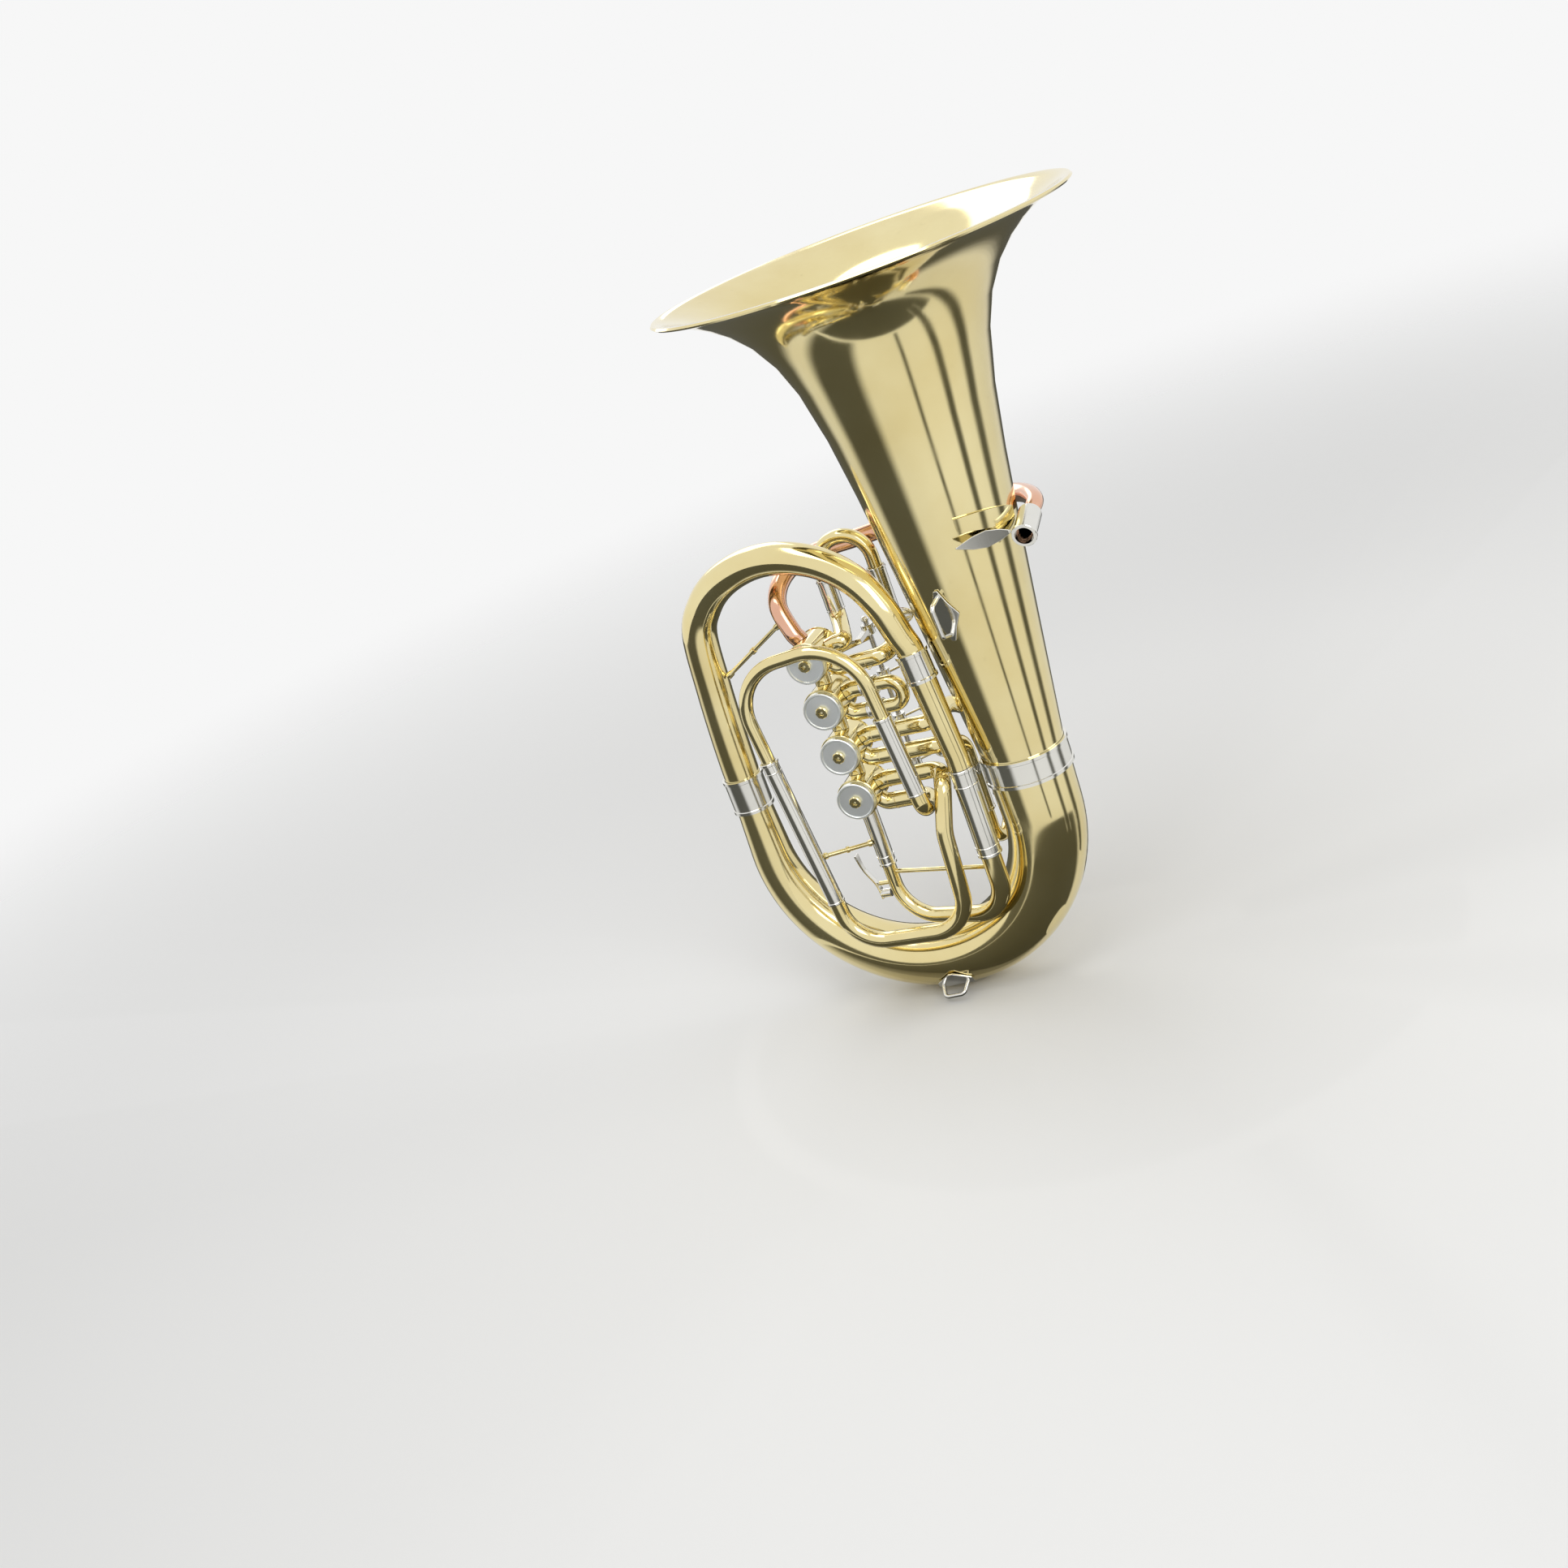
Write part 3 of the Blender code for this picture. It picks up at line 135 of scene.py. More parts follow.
# Lever action
AXLE_X = -100
AXLE_Y = 32
AXLE_RADIUS = 2
AXLE_END = 3
HUB_RADIUS = 5
HUB_HEIGHT = 8
ARM_WIDTH = 5
ARM_HEIGHT = 4
LINK_RADIUS = 1.5
LINK_Y = STOP_ARM_BACK + PIN_LENGTH + GAP + LINK_RADIUS
LINK_NOSE = 0.9
LINK_NOSE_LENGTH = 2
LINK_SWING = 0.75
PADDLE_REACH = 34
PADDLE_RISE = 13.2
PADDLE_LENGTH = 22
PADDLE_WIDTH = 14
PADDLE_THICKNESS = 2.4
PADDLE_LAP = 3
STEM_RADIUS = 1
POST_RADIUS = 1.8
POST_X = 8
POST_DROP = 11
POST_KNEE = 12

# Finger plate: shares of its thickness and of its size, from the underside up
PADDLE_EDGE = ((-0.5, 0.1), (-0.5, 0.82), (-0.38, 0.94), (-0.1, 1))
PADDLE_DOME = ((0.2, 0.98), (0.45, 0.88), (0.62, 0.6), (0.7, 0.3), (0.72, 0.05))

# Valve tubing
PORT_TUBE = 6.5
UPPER_PORT_DROP = 5.5
LOWER_PORT_DROP = -13.5
KNUCKLE_BEND = 12
LOOP_BEND = 11

# Slides
SLIDE_WALL = 0.5
SLEEVE_WALL = 0.7
SLEEVE_SIDES = 10
ROUND_SIDES = 40
ROD_SIDES = 20
MAIN_LEFT = (-130.5, -15)
MAIN_SLEEVE_LOW = 132
MAIN_LEFT_LOW = 128
MAIN_RIGHT_RADIUS = 9
MAIN_LEG_TOP = 166
MAIN_BOW_Z = 80
MAIN_BOW_BEND = 30
MAIN_BRACE_Z = 121
BRACE_RADIUS = 1.8
FIRST_LEFT = (-113, 17)
FIRST_RIGHT = (-71, 17)
FIRST_SLEEVE_TOP = 356
FIRST_LEG_LOW = 332
FIRST_BOW_Z = 364
SECOND_SLEEVE_END = -88
SECOND_LEG_START = -103
SECOND_BOW_X = -80
THIRD_NEAR = (-46, 6)
THIRD_FAR = (-40, 34)
THIRD_SWEEP = 16
THIRD_SLEEVE_LOW = 150
THIRD_LEG_TOP = 186
THIRD_BOW_Z = 136
FOURTH_Y = -48
FOURTH_TILT = radians(5)
FOURTH_LEFT_X = -168.5
FOURTH_LEFT_LOW = 118
FOURTH_LEFT_TOP = 245
FOURTH_RIGHT_X = -71.5
FOURTH_RIGHT_TOP = 262
FOURTH_LEG_HOLD = 40
FOURTH_TOP_RISE = 73
FOURTH_TOP_BEND = 42
FOURTH_LOW_Z = 79
FOURTH_LOW_BEND = 32
FOURTH_RISE_BEND = 45
FOURTH_BRACE_RISE = 40
FOURTH_BRACE_DROP = 9

# Water key
KEY_PIVOT = (-146, 112)
KEY_TIP = (-155, 140)
KEY_WIDTH = 5
KEY_THICKNESS = 1.8
KEY_PAD_RADIUS = 3.6
KEY_PAD_Z = 103

# Strap rings
STRAP_WIRE = 1.6
STRAP_STAND = 13
STRAP_PLATE = 1.6
STRAP_INSET = 3
STRAP_BEND = 4
UPPER_STRAP_Z = 326
UPPER_STRAP_HEIGHT = 40
UPPER_STRAP_WIDTH = 22
UPPER_STRAP_ANGLE = radians(-99.5)
LOWER_STRAP_ANGLE = radians(86)
LOWER_STRAP_TILT = radians(28)
LOWER_STRAP_WIDTH = 30

# Mouthpipe
LEADPIPE_RADIUS = 7
LEADPIPE_END_RADIUS = 6
LEADPIPE_LEAVE = 9
LEADPIPE_SWEEP = 34
LEADPIPE_TURN = (-114, 36)
LEADPIPE_FOLLOW = (-82, 42)
LEADPIPE_BACK_LEFT = (-42, 57)
LEADPIPE_BACK = (0, 64)
LEADPIPE_BACK_RIGHT = (40, 50)
LEADPIPE_RISE = 3.5
LEADPIPE_RUN_IN = 19
LEADPIPE_BRACE_RISE = 98
LEADPIPE_BRACE_X = 6.4
RECEIVER_RADIUS = 8.4
RECEIVER_BORE = 6.7
RECEIVER_INSERT = 6
RECEIVER_MOUTH = Vector((59.5, -27.5, 364))
RECEIVER_ROOT = Vector((60, -1, 371.5))
SADDLE_STEPS = 32
SADDLE_START = -66
SADDLE_TURN = 56
SADDLE_RISE = 17
SADDLE_FALL = 10
SADDLE_HALF = 4.5
SADDLE_BULGE = 2
SADDLE_THICKNESS = 2
LEAF_REACH = Vector((-31, -31.5, 6))
LEAF_THICKNESS = 1.5

# Small trim
PLATES = ("receiver_leaf", "water_key", "upper_strap_ring", "lower_strap_ring")
PLATES += tuple(f"arm_{number}" for number in VALVES)
PLATE_EDGE = 0.45
BAND_SIDES = 48
BAND_SINK = 0.3
BAND_SOFT = 0.35
OVERLAY_LIFT = 0.45
OVERLAY_WALL = 0.5
ARCH_Z = 188
ARCH_RISE = UP * 9
ARCH_RADIUS = 1.7
KNUCKLE_RINGS = (24, 40)
KNOB_PROFILE = ((-0.6, 1.2), (-0.6, 3), (1.2, 3), (2.2, 2.4), (2.8, 1.4), (3, 0.2))

# Metals: noises as scale and detail
DRIFT_NOISE = (14, 5)
DRIFT_STOPS = (0.35, 0.65)
SPOT_NOISE = (160, 6)
SPOT_RANGE = (0.66, 0.8)
SPOT_SHADE = (0.45, 0.42, 0.35)
CLOUD_NOISE = (38, 8)
CLOUD_RANGE = (0.3, 0.75)
CLOUD_ROUGHNESS = 0.07
SCRATCH_NOISE = (1, 3)
SCRATCH_SCALE = (900, 900, 45)
SCRATCH_TURN = (0.2, 0.35, 0)
SCRATCH_DEPTH = 0.00005
COAT_WEIGHT = 0.25
COAT_ROUGHNESS = 0.04

# Stage in metres: lamps by bearing, reach and height, then size and power
FLOOR_RADIUS = 2.6
FLOOR_DROP = 0.0005
FLOOR_COLOUR = (0.87, 0.87, 0.86)
BACK_COLOUR = (0.93, 0.93, 0.93)
FILL_COLOUR = (0.5, 0.5, 0.5)
LAMP_AIM = UP * 0.3
LAMPS = (
    ("key", (-50, 1.9, 1.3), 1.1, 10.5),
    ("side", (10, 1.8, 0.8), 0.9, 4),
    ("top", (-100, 0.4, 2.1), 1.3, 12),
    ("back", (130, 1.8, 1.5), 1.2, 7),
)

# Dark mats by bearings and reaches, then the share of their width that fades
MAT_COLOUR = (0.085, 0.085, 0.07)
MAT_HEIGHT = 0.0006
MAT_STEPS = 32
MATS = (
    ("mat_left", (-108, -178), (0.3, 2.4), 0.22),
    ("mat_front", (-62, -53), (0.3, 2.4), 0.5),
    ("mat_right", (-24, -8), (0.2, 2.4), 0.4),
    ("mat_side", (10, 34), (0.12, 2.4), 0.4),
    ("mat_behind", (70, 172), (0.12, 2.4), 0.15),
    ("mat_under", (-179, 20), (0.02, 0.28), 0.1),
)

# Camera: focal length as a share of the picture's width, place from the rim, and turns in degrees
SENSOR = 36
FOCAL_SHARE = 2250 / 1932
CAMERA_PLACE = (0.4383, -1.2043, RIM_Z * MM + 0.1211)
CAMERA_TURNS = (68.670, 19.825, 20.368)

SCENE = bpy.context.scene
BELL_LOW, BELL_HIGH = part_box("bell")
SHIFT = Vector((
    (BELL_LOW[0] + BELL_HIGH[0]) / 2,
    (BELL_LOW[1] + BELL_HIGH[1]) / 2,
    BELL_HIGH[2] - RIM_Z * MM,
))
PIECES = {}
CARRIERS = {}
BODIES = frame["record"]["behaviour"]["bodies"].items()
BODY_OF = {name: body for body, names in BODIES for name in names}


def fill(made, sockets):
    """Fill a node's sockets: an output is linked, anything else is a constant."""
    for key, value in sockets.items():
        if isinstance(value, bpy.types.NodeSocket):
            made.id_data.links.new(value, made.inputs[key])
        else:
            made.inputs[key].default_value = value
    return made


def node(tree, kind, sockets, **values):
    """Add a shader node, then set its plain values and its sockets."""
    made = tree.nodes.new(kind)
    for key, value in values.items():
        setattr(made, key, value)
    return fill(made, sockets)


def new_paint(name):
    """A new material with its tree and its main shader."""
    made = bpy.data.materials.new(name)
    made.use_nodes = True
    return made, made.node_tree, made.node_tree.nodes["Principled BSDF"]


def noise(tree, place, scale, detail):
    """Output of a noise texture."""
    sockets = {"Vector": place, "Scale": scale, "Detail": detail}
    return node(tree, "ShaderNodeTexNoise", sockets).outputs["Fac"]


def remap(tree, value, given, wanted):
    """Output that carries a value from one range to another."""
    ends = ("From Min", "From Max", "To Min", "To Max")
    sockets = {"Value": value, **dict(zip(ends, (*given, *wanted)))}
    return node(tree, "ShaderNodeMapRange", sockets).outputs["Result"]


def metal(name, pale, deep, roughness, scratch, tarnish):
    """Polished metal: slow colour drift, faint cloudy polish marks and hairline scratches."""
    made, tree, shader = new_paint(name)
    place = node(tree, "ShaderNodeTexCoord", {}).outputs["Object"]
    drift = node(tree, "ShaderNodeValToRGB", {"Fac": noise(tree, place, *DRIFT_NOISE)})
    for stop, position, colour in zip(drift.color_ramp.elements, DRIFT_STOPS, (deep, pale)):
        stop.position = position
        stop.color = (*colour, 1.0)
    spots = remap(tree, noise(tree, place, *SPOT_NOISE), SPOT_RANGE, (0, tarnish))
    dull = [part * share for part, share in zip(deep, SPOT_SHADE)]
    colours = {"Factor": spots, "A": drift.outputs["Color"], "B": (*dull, 1.0)}
    mix = node(tree, "ShaderNodeMix", colours, data_type="RGBA")
    dullness = (roughness, roughness + CLOUD_ROUGHNESS)
    cloud = remap(tree, noise(tree, place, *CLOUD_NOISE), CLOUD_RANGE, dullness)
    sockets = {"Vector": place, "Scale": SCRATCH_SCALE, "Rotation": SCRATCH_TURN}
    stretch = node(tree, "ShaderNodeMapping", sockets)
    lines = noise(tree, stretch.outputs["Vector"], *SCRATCH_NOISE)
    bump = node(tree, "ShaderNodeBump", {"Height": lines, "Strength": scratch, "Distance": SCRATCH_DEPTH})
    fill(shader, {"Base Color": mix.outputs["Result"], "Roughness": cloud, "Metallic": 1.0})
    fill(shader, {"Normal": bump.outputs["Normal"]})
    fill(shader, {"Coat Weight": COAT_WEIGHT, "Coat Roughness": COAT_ROUGHNESS})
    return made


BRASS = metal("lacquered_brass", (0.87, 0.76, 0.42), (0.80, 0.67, 0.33), 0.06, 0.05, 0.10)
NICKEL = metal("nickel_silver", (0.83, 0.82, 0.77), (0.74, 0.73, 0.69), 0.08, 0.08, 0.10)
COPPER = metal("rose_brass", (0.86, 0.53, 0.38), (0.76, 0.42, 0.28), 0.10, 0.08, 0.16)
STEEL = metal("plain_steel", (0.62, 0.62, 0.62), (0.48, 0.48, 0.49), 0.24, 0.2, 0.2)
CAP_METAL = metal("cap_nickel", (0.88, 0.91, 0.91), (0.80, 0.84, 0.85), 0.36, 0.1, 0.12)


def add_object(name, data):
    """A new object in the scene."""
    made = bpy.data.objects.new(name, data)
    SCENE.collection.objects.link(made)
    return made


def finish(name, work, material, carrier=None):
    """Turn a bmesh into a named piece in the model's frame, which moves with its carrier."""
    bmesh.ops.recalc_face_normals(work, faces=work.faces)
    for vert in work.verts:
        vert.co = vert.co * MM + SHIFT
    mesh = bpy.data.meshes.new(name)
    work.to_mesh(mesh)
    work.free()
    mesh.shade_smooth()
    mesh.set_sharp_from_angle(angle=radians(SHARP_ANGLE))
    mesh.materials.append(material)
    PIECES[name] = add_object("look_" + name, mesh)
    if carrier:
        CARRIERS[name] = carrier


def skin(rings, looped):
    """Bridge rings of points: looped, the last meets the first, otherwise both ends are capped."""
    work = bmesh.new()
    rows = [[work.verts.new(point) for point in ring] for ring in rings]
    pairs = list(zip(rows, rows[1:]))
    if looped:
        pairs.append((rows[-1], rows[0]))
    for low, high in pairs:
        for i in range(len(low)):
            j = (i + 1) % len(low)
            work.faces.new((low[i], low[j], high[j], high[i]))
    if not looped:
        work.faces.new(rows[0])
        work.faces.new(rows[-1])
    return work


def run(points, bend, steps):
    """Straight runs between points, with a round bend at each corner."""
    points = [Vector(p) for p in points]
    path = [points[0]]
    for a, b, c in zip(points, points[1:], points[2:]):
        back = (a - b).normalized()
        ahead = (c - b).normalized()
        turn = pi - back.angle(ahead)
        if turn < 0.02:
            path.append(b)
            continue
        reach = min(bend * tan(turn / 2), 0.49 * (a - b).length, 0.49 * (c - b).length)
        radius = reach / tan(turn / 2)
        inward = (back + ahead).normalized()
        centre = b + inward * (radius / cos(turn / 2))
        start = b + back * reach - centre
        axis = start.cross(b + ahead * reach - centre).normalized()
        side = axis.cross(start)
        count = max(4, round(FINE * steps * turn / (pi / 2)))
        for k in range(count + 1):
            angle = turn * k / count
            path.append(centre + start * cos(angle) + side * sin(angle))
    path.append(points[-1])
    return path


def sweep(start, leave, end, arrive, reach, count):
    """Points along a round bend that leaves and arrives in given directions."""
    first = start + leave * reach
    last = end - arrive * reach
    path = []
    for step in range(count + 1):
        done = step / count
        left = 1 - done
        near = left ** 3 * start + 3 * left ** 2 * done * first
        path.append(near + 3 * left * done ** 2 * last + done ** 3 * end)
    return path


def smooth(points, pieces):
    """A smooth curve through the given points."""
    pts = [Vector(p) for p in points]
    ends = [2 * pts[0] - pts[1]] + pts + [2 * pts[-1] - pts[-2]]
    count = FINE * pieces
    path = []
    for a, b, c, d in zip(ends, ends[1:], ends[2:], ends[3:]):
        square = 2 * a - 5 * b + 4 * c - d
        cube = 3 * b - a - 3 * c + d
        for k in range(count):
            t = k / count
            path.append(0.5 * (2 * b + (c - a) * t + square * t**2 + cube * t**3))
    path.append(pts[-1])
    return path


def travel(path):
    """Distance along a path at each of its points, from 0 to 1."""
    marks = [0]
    for a, b in zip(path, path[1:]):
        marks.append(marks[-1] + (b - a).length)
    return [mark / marks[-1] for mark in marks]


def frames(path, first):
    """Two side directions at each point, carried along without twist."""
    out = []
    normal = Vector(first)
    for i, point in enumerate(path):
        ahead = path[min(i + 1, len(path) - 1)] - point
        behind = point - path[max(i - 1, 0)]
        tangent = (ahead.normalized() + behind.normalized()).normalized()
        normal = (normal - tangent * normal.dot(tangent)).normalized()
        out.append((normal, tangent.cross(normal)))
    return out


def circle(centre, normal, side, radius, sides):
    """Points of a circle."""
    turns = [2 * pi / sides * i for i in range(sides)]
    return [centre + (normal * cos(turn) + side * sin(turn)) * radius for turn in turns]


def stations(path, size, first):
    """Points, sizes and side directions along a path; sizes may come as pairs of share and number."""
    path = [Vector(p) for p in path]
    if isinstance(size, (int, float)):
        size = [(0, size), (1, size)]
    sizes = []
    for mark in travel(path):
        for (m0, r0), (m1, r1) in zip(size, size[1:]):
            if mark <= m1 + 1e-9:
                sizes.append(r0 + (r1 - r0) * (mark - m0) / (m1 - m0))
                break
    return [(point, wide, *pair) for point, wide, pair in zip(path, sizes, frames(path, first))]


def saddle(point, direction, centre_z):
    """Slide a point along a direction to one gap off the casing's round wall."""
    direction = direction.normalized()
    rel = Vector((point.x - VALVE_X, 0, point.z - centre_z))
    flat = Vector((direction.x, 0, direction.z))
    a = flat.dot(flat)
    b = rel.dot(flat)
    c = rel.dot(rel) - (CASING_RADIUS + GAP) ** 2
    root = sqrt(max(b * b - a * c, 0))
    return point + direction * ((-b - root) / a)


def tube(name, path, radius, wall, material, sides=ROUND_SIDES, first=BACK, seats=(), carrier=None):
    """A hollow tube with open ends; a seat trims an end to fit round a valve casing."""
    path = [Vector(p) for p in path]
    outer = []
    inner = []
    for point, size, normal, side in stations(path, radius, first):
        outer.append(circle(point, normal, side, size, sides))
        inner.append(circle(point, normal, side, size - wall, sides))
    for end, number in seats:
        direction = path[end] - path[1 if end == 0 else -2]
        for ring in (outer[end], inner[end]):
            ring[:] = [saddle(p, direction, valve_z(number)) for p in ring]
    finish(name, skin(outer + inner[::-1], True), material, carrier)


def rod(name, path, radius, material, first=UP, carrier=None, sides=ROD_SIDES):
    """A solid round bar along a path."""
    rings = [circle(p, normal, side, r, sides) for p, r, normal, side in stations(path, radius, first)]
    finish(name, skin(rings, False), material, carrier)


def slab(name, path, width, thickness, material, first, carrier=None):
    """A flat bar along a path, its thickness along the first direction."""
    rings = []
    for point, wide, normal, side in stations(path, width, first):
        edge = side * (wide / 2)
        face = normal * (thickness / 2)
        rings.append([point - edge - face, point + edge - face, point + edge + face, point - edge + face])
    finish(name, skin(rings, False), material, carrier)


def turned_rings(centre, axis, first, profile, sides):
    """Rings of a turned shape from pairs of distance along the axis and radius."""
    axis = axis.normalized()
    normal = (first - axis * first.dot(axis)).normalized()
    side = axis.cross(normal)
    return [circle(Vector(centre) + axis * along, normal, side, radius, sides) for along, radius in profile]


def turned(name, centre, axis, profile, sides, material, looped=True, first=RIGHT, carrier=None):
    """A turned piece: looped for a ring, otherwise closed at both ends."""
    finish(name, skin(turned_rings(centre, axis, first, profile, sides), looped), material, carrier)


def bell_radius(depth):
    """Outer radius of the bell at a depth below its rim."""
    flare = RIM_RADIUS - BELL_THROAT_RADIUS - BELL_LENGTH * BELL_TAPER
    cone = BELL_THROAT_RADIUS + max(BELL_LENGTH - depth, 0) * BELL_TAPER
    return cone + flare * exp(-((depth / BELL_FLARE_DEPTH) ** BELL_FLARE_POWER))


def bell_at(z):
    """Outer radius of the bell at a height."""
    return bell_radius(RIM_Z - z)


def bell_point(angle, z, lift):
    """Point at a lift off the bell's outside."""
    radius = bell_at(z) + GAP + lift
    return Vector((radius * cos(angle), radius * sin(angle), z))


def make_bell():
    """Flared bell with a rolled rim, open at the throat."""
    depths = [RIM_LIP + share * (BELL_LENGTH - RIM_LIP) for share in BELL_STATIONS] + [BELL_LENGTH]
    outer = []
    inner = []
    for depth in depths:
        slope = bell_radius(depth + 0.5) - bell_radius(depth - 0.5)
        size = hypot(1, slope)
        outer.append((depth, bell_radius(depth)))
        inner.append((depth + slope / size * BELL_WALL, bell_radius(depth) - BELL_WALL / size))
    end = BELL_LENGTH + BELL_FERRULE_LENGTH / 2 - GAP / 2
    throat = bell_radius(BELL_LENGTH)
    outer.append((end, throat))
    inner.append((end, throat - BELL_WALL))
    lip = RIM_RADIUS - 0.5 * RIM_BEAD
    rim = [(0, RIM_RADIUS - 2 * RIM_BEAD), (0, lip), (0.5 * RIM_BEAD, RIM_RADIUS), (RIM_BEAD, lip)]
    turned("bell", (0, 0, RIM_Z), -UP, rim + outer + inner[::-1], BELL_SIDES, BRASS)


def ferrule(name, centre, axis, length, radius, sides):
    """Plain sleeve round a tube of the given radius, with a bead at each edge."""
    half = length / 2
    bore = (radius + GAP) / cos(pi / sides)
    wall = bore + FERRULE_WALL
    bead = wall + FERRULE_BEAD
    edge = half - FERRULE_BAND
    rise = edge - FERRULE_SLOPE
    profile = [(-half, bore), (-half, bead), (-edge, bead), (-rise, wall)]
    profile += [(rise, wall), (edge, bead), (half, bead), (half, bore)]
    turned(name, centre, axis, profile, sides, NICKEL, first=BACK)


def bow_centre(angle):
    """Centre of the bottom bow at an angle round its half circle, from the bell side."""
    half = BOW_SPACING / 2
    return Vector((-half + half * cos(angle), 0, BOW_CENTRE_Z - half * sin(angle)))


def make_bottom_bow():
    """Conical bow from the bell throat round the foot to the left branch."""
    top = RIM_Z - BELL_LENGTH - BELL_FERRULE_LENGTH / 2 - GAP / 2
    end = LEFT_JOINT_Z - GAP / 2
    path = [UP * top, UP * (top - BELL_FERRULE_LENGTH / 2 - FERRULE_CLEAR)]
    path += [bow_centre(pi * k / BOW_STEPS) for k in range(BOW_STEPS + 1)]
    path += [Vector((-BOW_SPACING, 0, z)) for z in (end - LEFT_FERRULE_LENGTH / 2 - FERRULE_CLEAR, end)]
    marks = travel(path)
    radius = [
        (0, BELL_THROAT_RADIUS),
        (marks[1], BELL_THROAT_RADIUS),
        (marks[2 + BOW_STEPS // 2], BOW_BOTTOM_RADIUS),
        (marks[2 + BOW_STEPS], LEFT_RADIUS + 2),
        (marks[-2], LEFT_RADIUS),
        (1, LEFT_RADIUS),
    ]
    tube("bottom_bow", path, radius, BODY_WALL, BRASS, BOW_SIDES)


def make_branches():
    """Ferrules, the top bow with the left branch, and the tapered branch."""
    throat = UP * (RIM_Z - BELL_LENGTH - BELL_FERRULE_LENGTH / 2)
    ferrule("bell_ferrule", throat, -UP, BELL_FERRULE_LENGTH, BELL_THROAT_RADIUS, 96)
    left = Vector((-BOW_SPACING, 0, LEFT_JOINT_Z))
    ferrule("left_ferrule", left, UP, LEFT_FERRULE_LENGTH, LEFT_RADIUS, 64)
    joint = BRANCH_JOINT
    down = (BRANCH_FOOT - joint).normalized()
    tail = BRANCH_FERRULE_LENGTH / 2
    high = TOP_BOW_Z
    points = [
        left + UP * (GAP / 2),
        left + Vector((0.2, 0, LEFT_FERRULE_LENGTH / 2 + FERRULE_CLEAR)),
        left + Vector((1.8, 0, 50)),
        left + Vector((5, 0, 90)),
        (-221, -0.5, high - 48),
        (-207, -2, high - 26),
        (-187, -5, high - 11),
        (-161, -9, high - 2),
        (-135, -14, high),
        (-109, -19, high - 5),
        (-87, -24, high - 15),
        (-69, -28, high - 31),
        (-57.5, -31, high - 51),
        (-50.5, -32.2, high - 74),
        joint - down * (tail + FERRULE_CLEAR),
        joint - down * (GAP / 2),
    ]
    size = [(0, LEFT_RADIUS), (0.06, LEFT_RADIUS), (0.4, TOP_RADIUS), (0.92, TOP_END_RADIUS + 0.6)]
    size += [(0.96, TOP_END_RADIUS), (1, TOP_END_RADIUS)]
    tube("top_bow", smooth(points, 2), size, BODY_WALL, BRASS, BRANCH_SIDES)
    ferrule("branch_ferrule", joint, down, BRANCH_FERRULE_LENGTH, TOP_END_RADIUS, BRANCH_SIDES)
    path = [joint + down * (GAP / 2)]
    path += [joint + down * (tail + 3), BRANCH_FOOT + UP * 10, BRANCH_FOOT]
    size = [(0, TOP_END_RADIUS), (0.17, TOP_END_RADIUS)]
    size += [(0.9, BRANCH_END_RADIUS), (1, BRANCH_END_RADIUS)]
    tube("tapered_branch", path, size, BODY_WALL, BRASS, BRANCH_SIDES)


def valve_z(number):
    """Height of a valve's axis."""
    return VALVE_1_Z - (number - 1) * VALVE_PITCH


def valve_point(number, y):
    """Point on a valve's axis at a depth."""
    return Vector((VALVE_X, y, valve_z(number)))


def radial(angle):
    """Direction out from a valve axis, at an angle up from the right."""
    return Vector((cos(radians(angle)), 0, sin(radians(angle))))


def valve_turned(name, number, profile, sides, material, looped=True, carrier=None):
    """A turned piece on a valve's axis."""
    turned(name, valve_point(number, 0), BACK, profile, sides, material, looped, carrier=carrier)


def make_casing(number):
    """Casing, open in front; the first and last carry the axle's posts."""
    name = f"valve_casing_{number}"
    bore = CASING_RADIUS - CASING_WALL
    hole = SPINDLE_RADIUS + GAP
    back = CASING_BACK - BACK_WALL
    profile = [(CASING_FRONT, bore), (CASING_FRONT, CASING_RADIUS), (CASING_BACK, CASING_RADIUS)]
    profile += [(CASING_BACK, hole), (back, hole), (back, bore)]
    valve_turned(name, number, profile, CASING_SIDES, BRASS)
    if number in (VALVES[0], VALVES[-1]):
        axle = Vector((AXLE_X, AXLE_Y, post_z(number)))
        root = Vector((VALVE_X + POST_X, CASING_BACK - 0.5 * BACK_WALL, post_z(number)))
        knee = root + BACK * POST_KNEE
        end = axle - (axle - knee).normalized() * (AXLE_RADIUS + 1.5 * GAP)
        rod(f"post_{number}", run([root, knee, end], 5, 4), POST_RADIUS, BRASS, carrier=name)


def post_z(number):
    """Height of the axle post below a valve."""
    return valve_z(number) - POST_DROP


def make_cap(number):
    """Front cap: a dished disc with a raised rim and a bored boss."""
    face = CASING_FRONT - GAP
    front = face - CAP_DEPTH
    dish = front + CAP_DISH
    boss = front - CAP_LIP
    profile = [(face, 0.6 * CAP_RADIUS), (face, CAP_RADIUS), (front + CAP_LIP, CAP_RADIUS)]
    profile += [(front, CAP_RADIUS - CAP_LIP), (front, CAP_RADIUS - 1.6), (dish, CAP_RADIUS - 2.2)]
    profile += [(dish, 4.2), (boss, 3.6), (boss, 1.4), (dish, 1.4)]
    valve_turned(f"valve_cap_{number}", number, profile, CASING_SIDES, CAP_METAL, False)


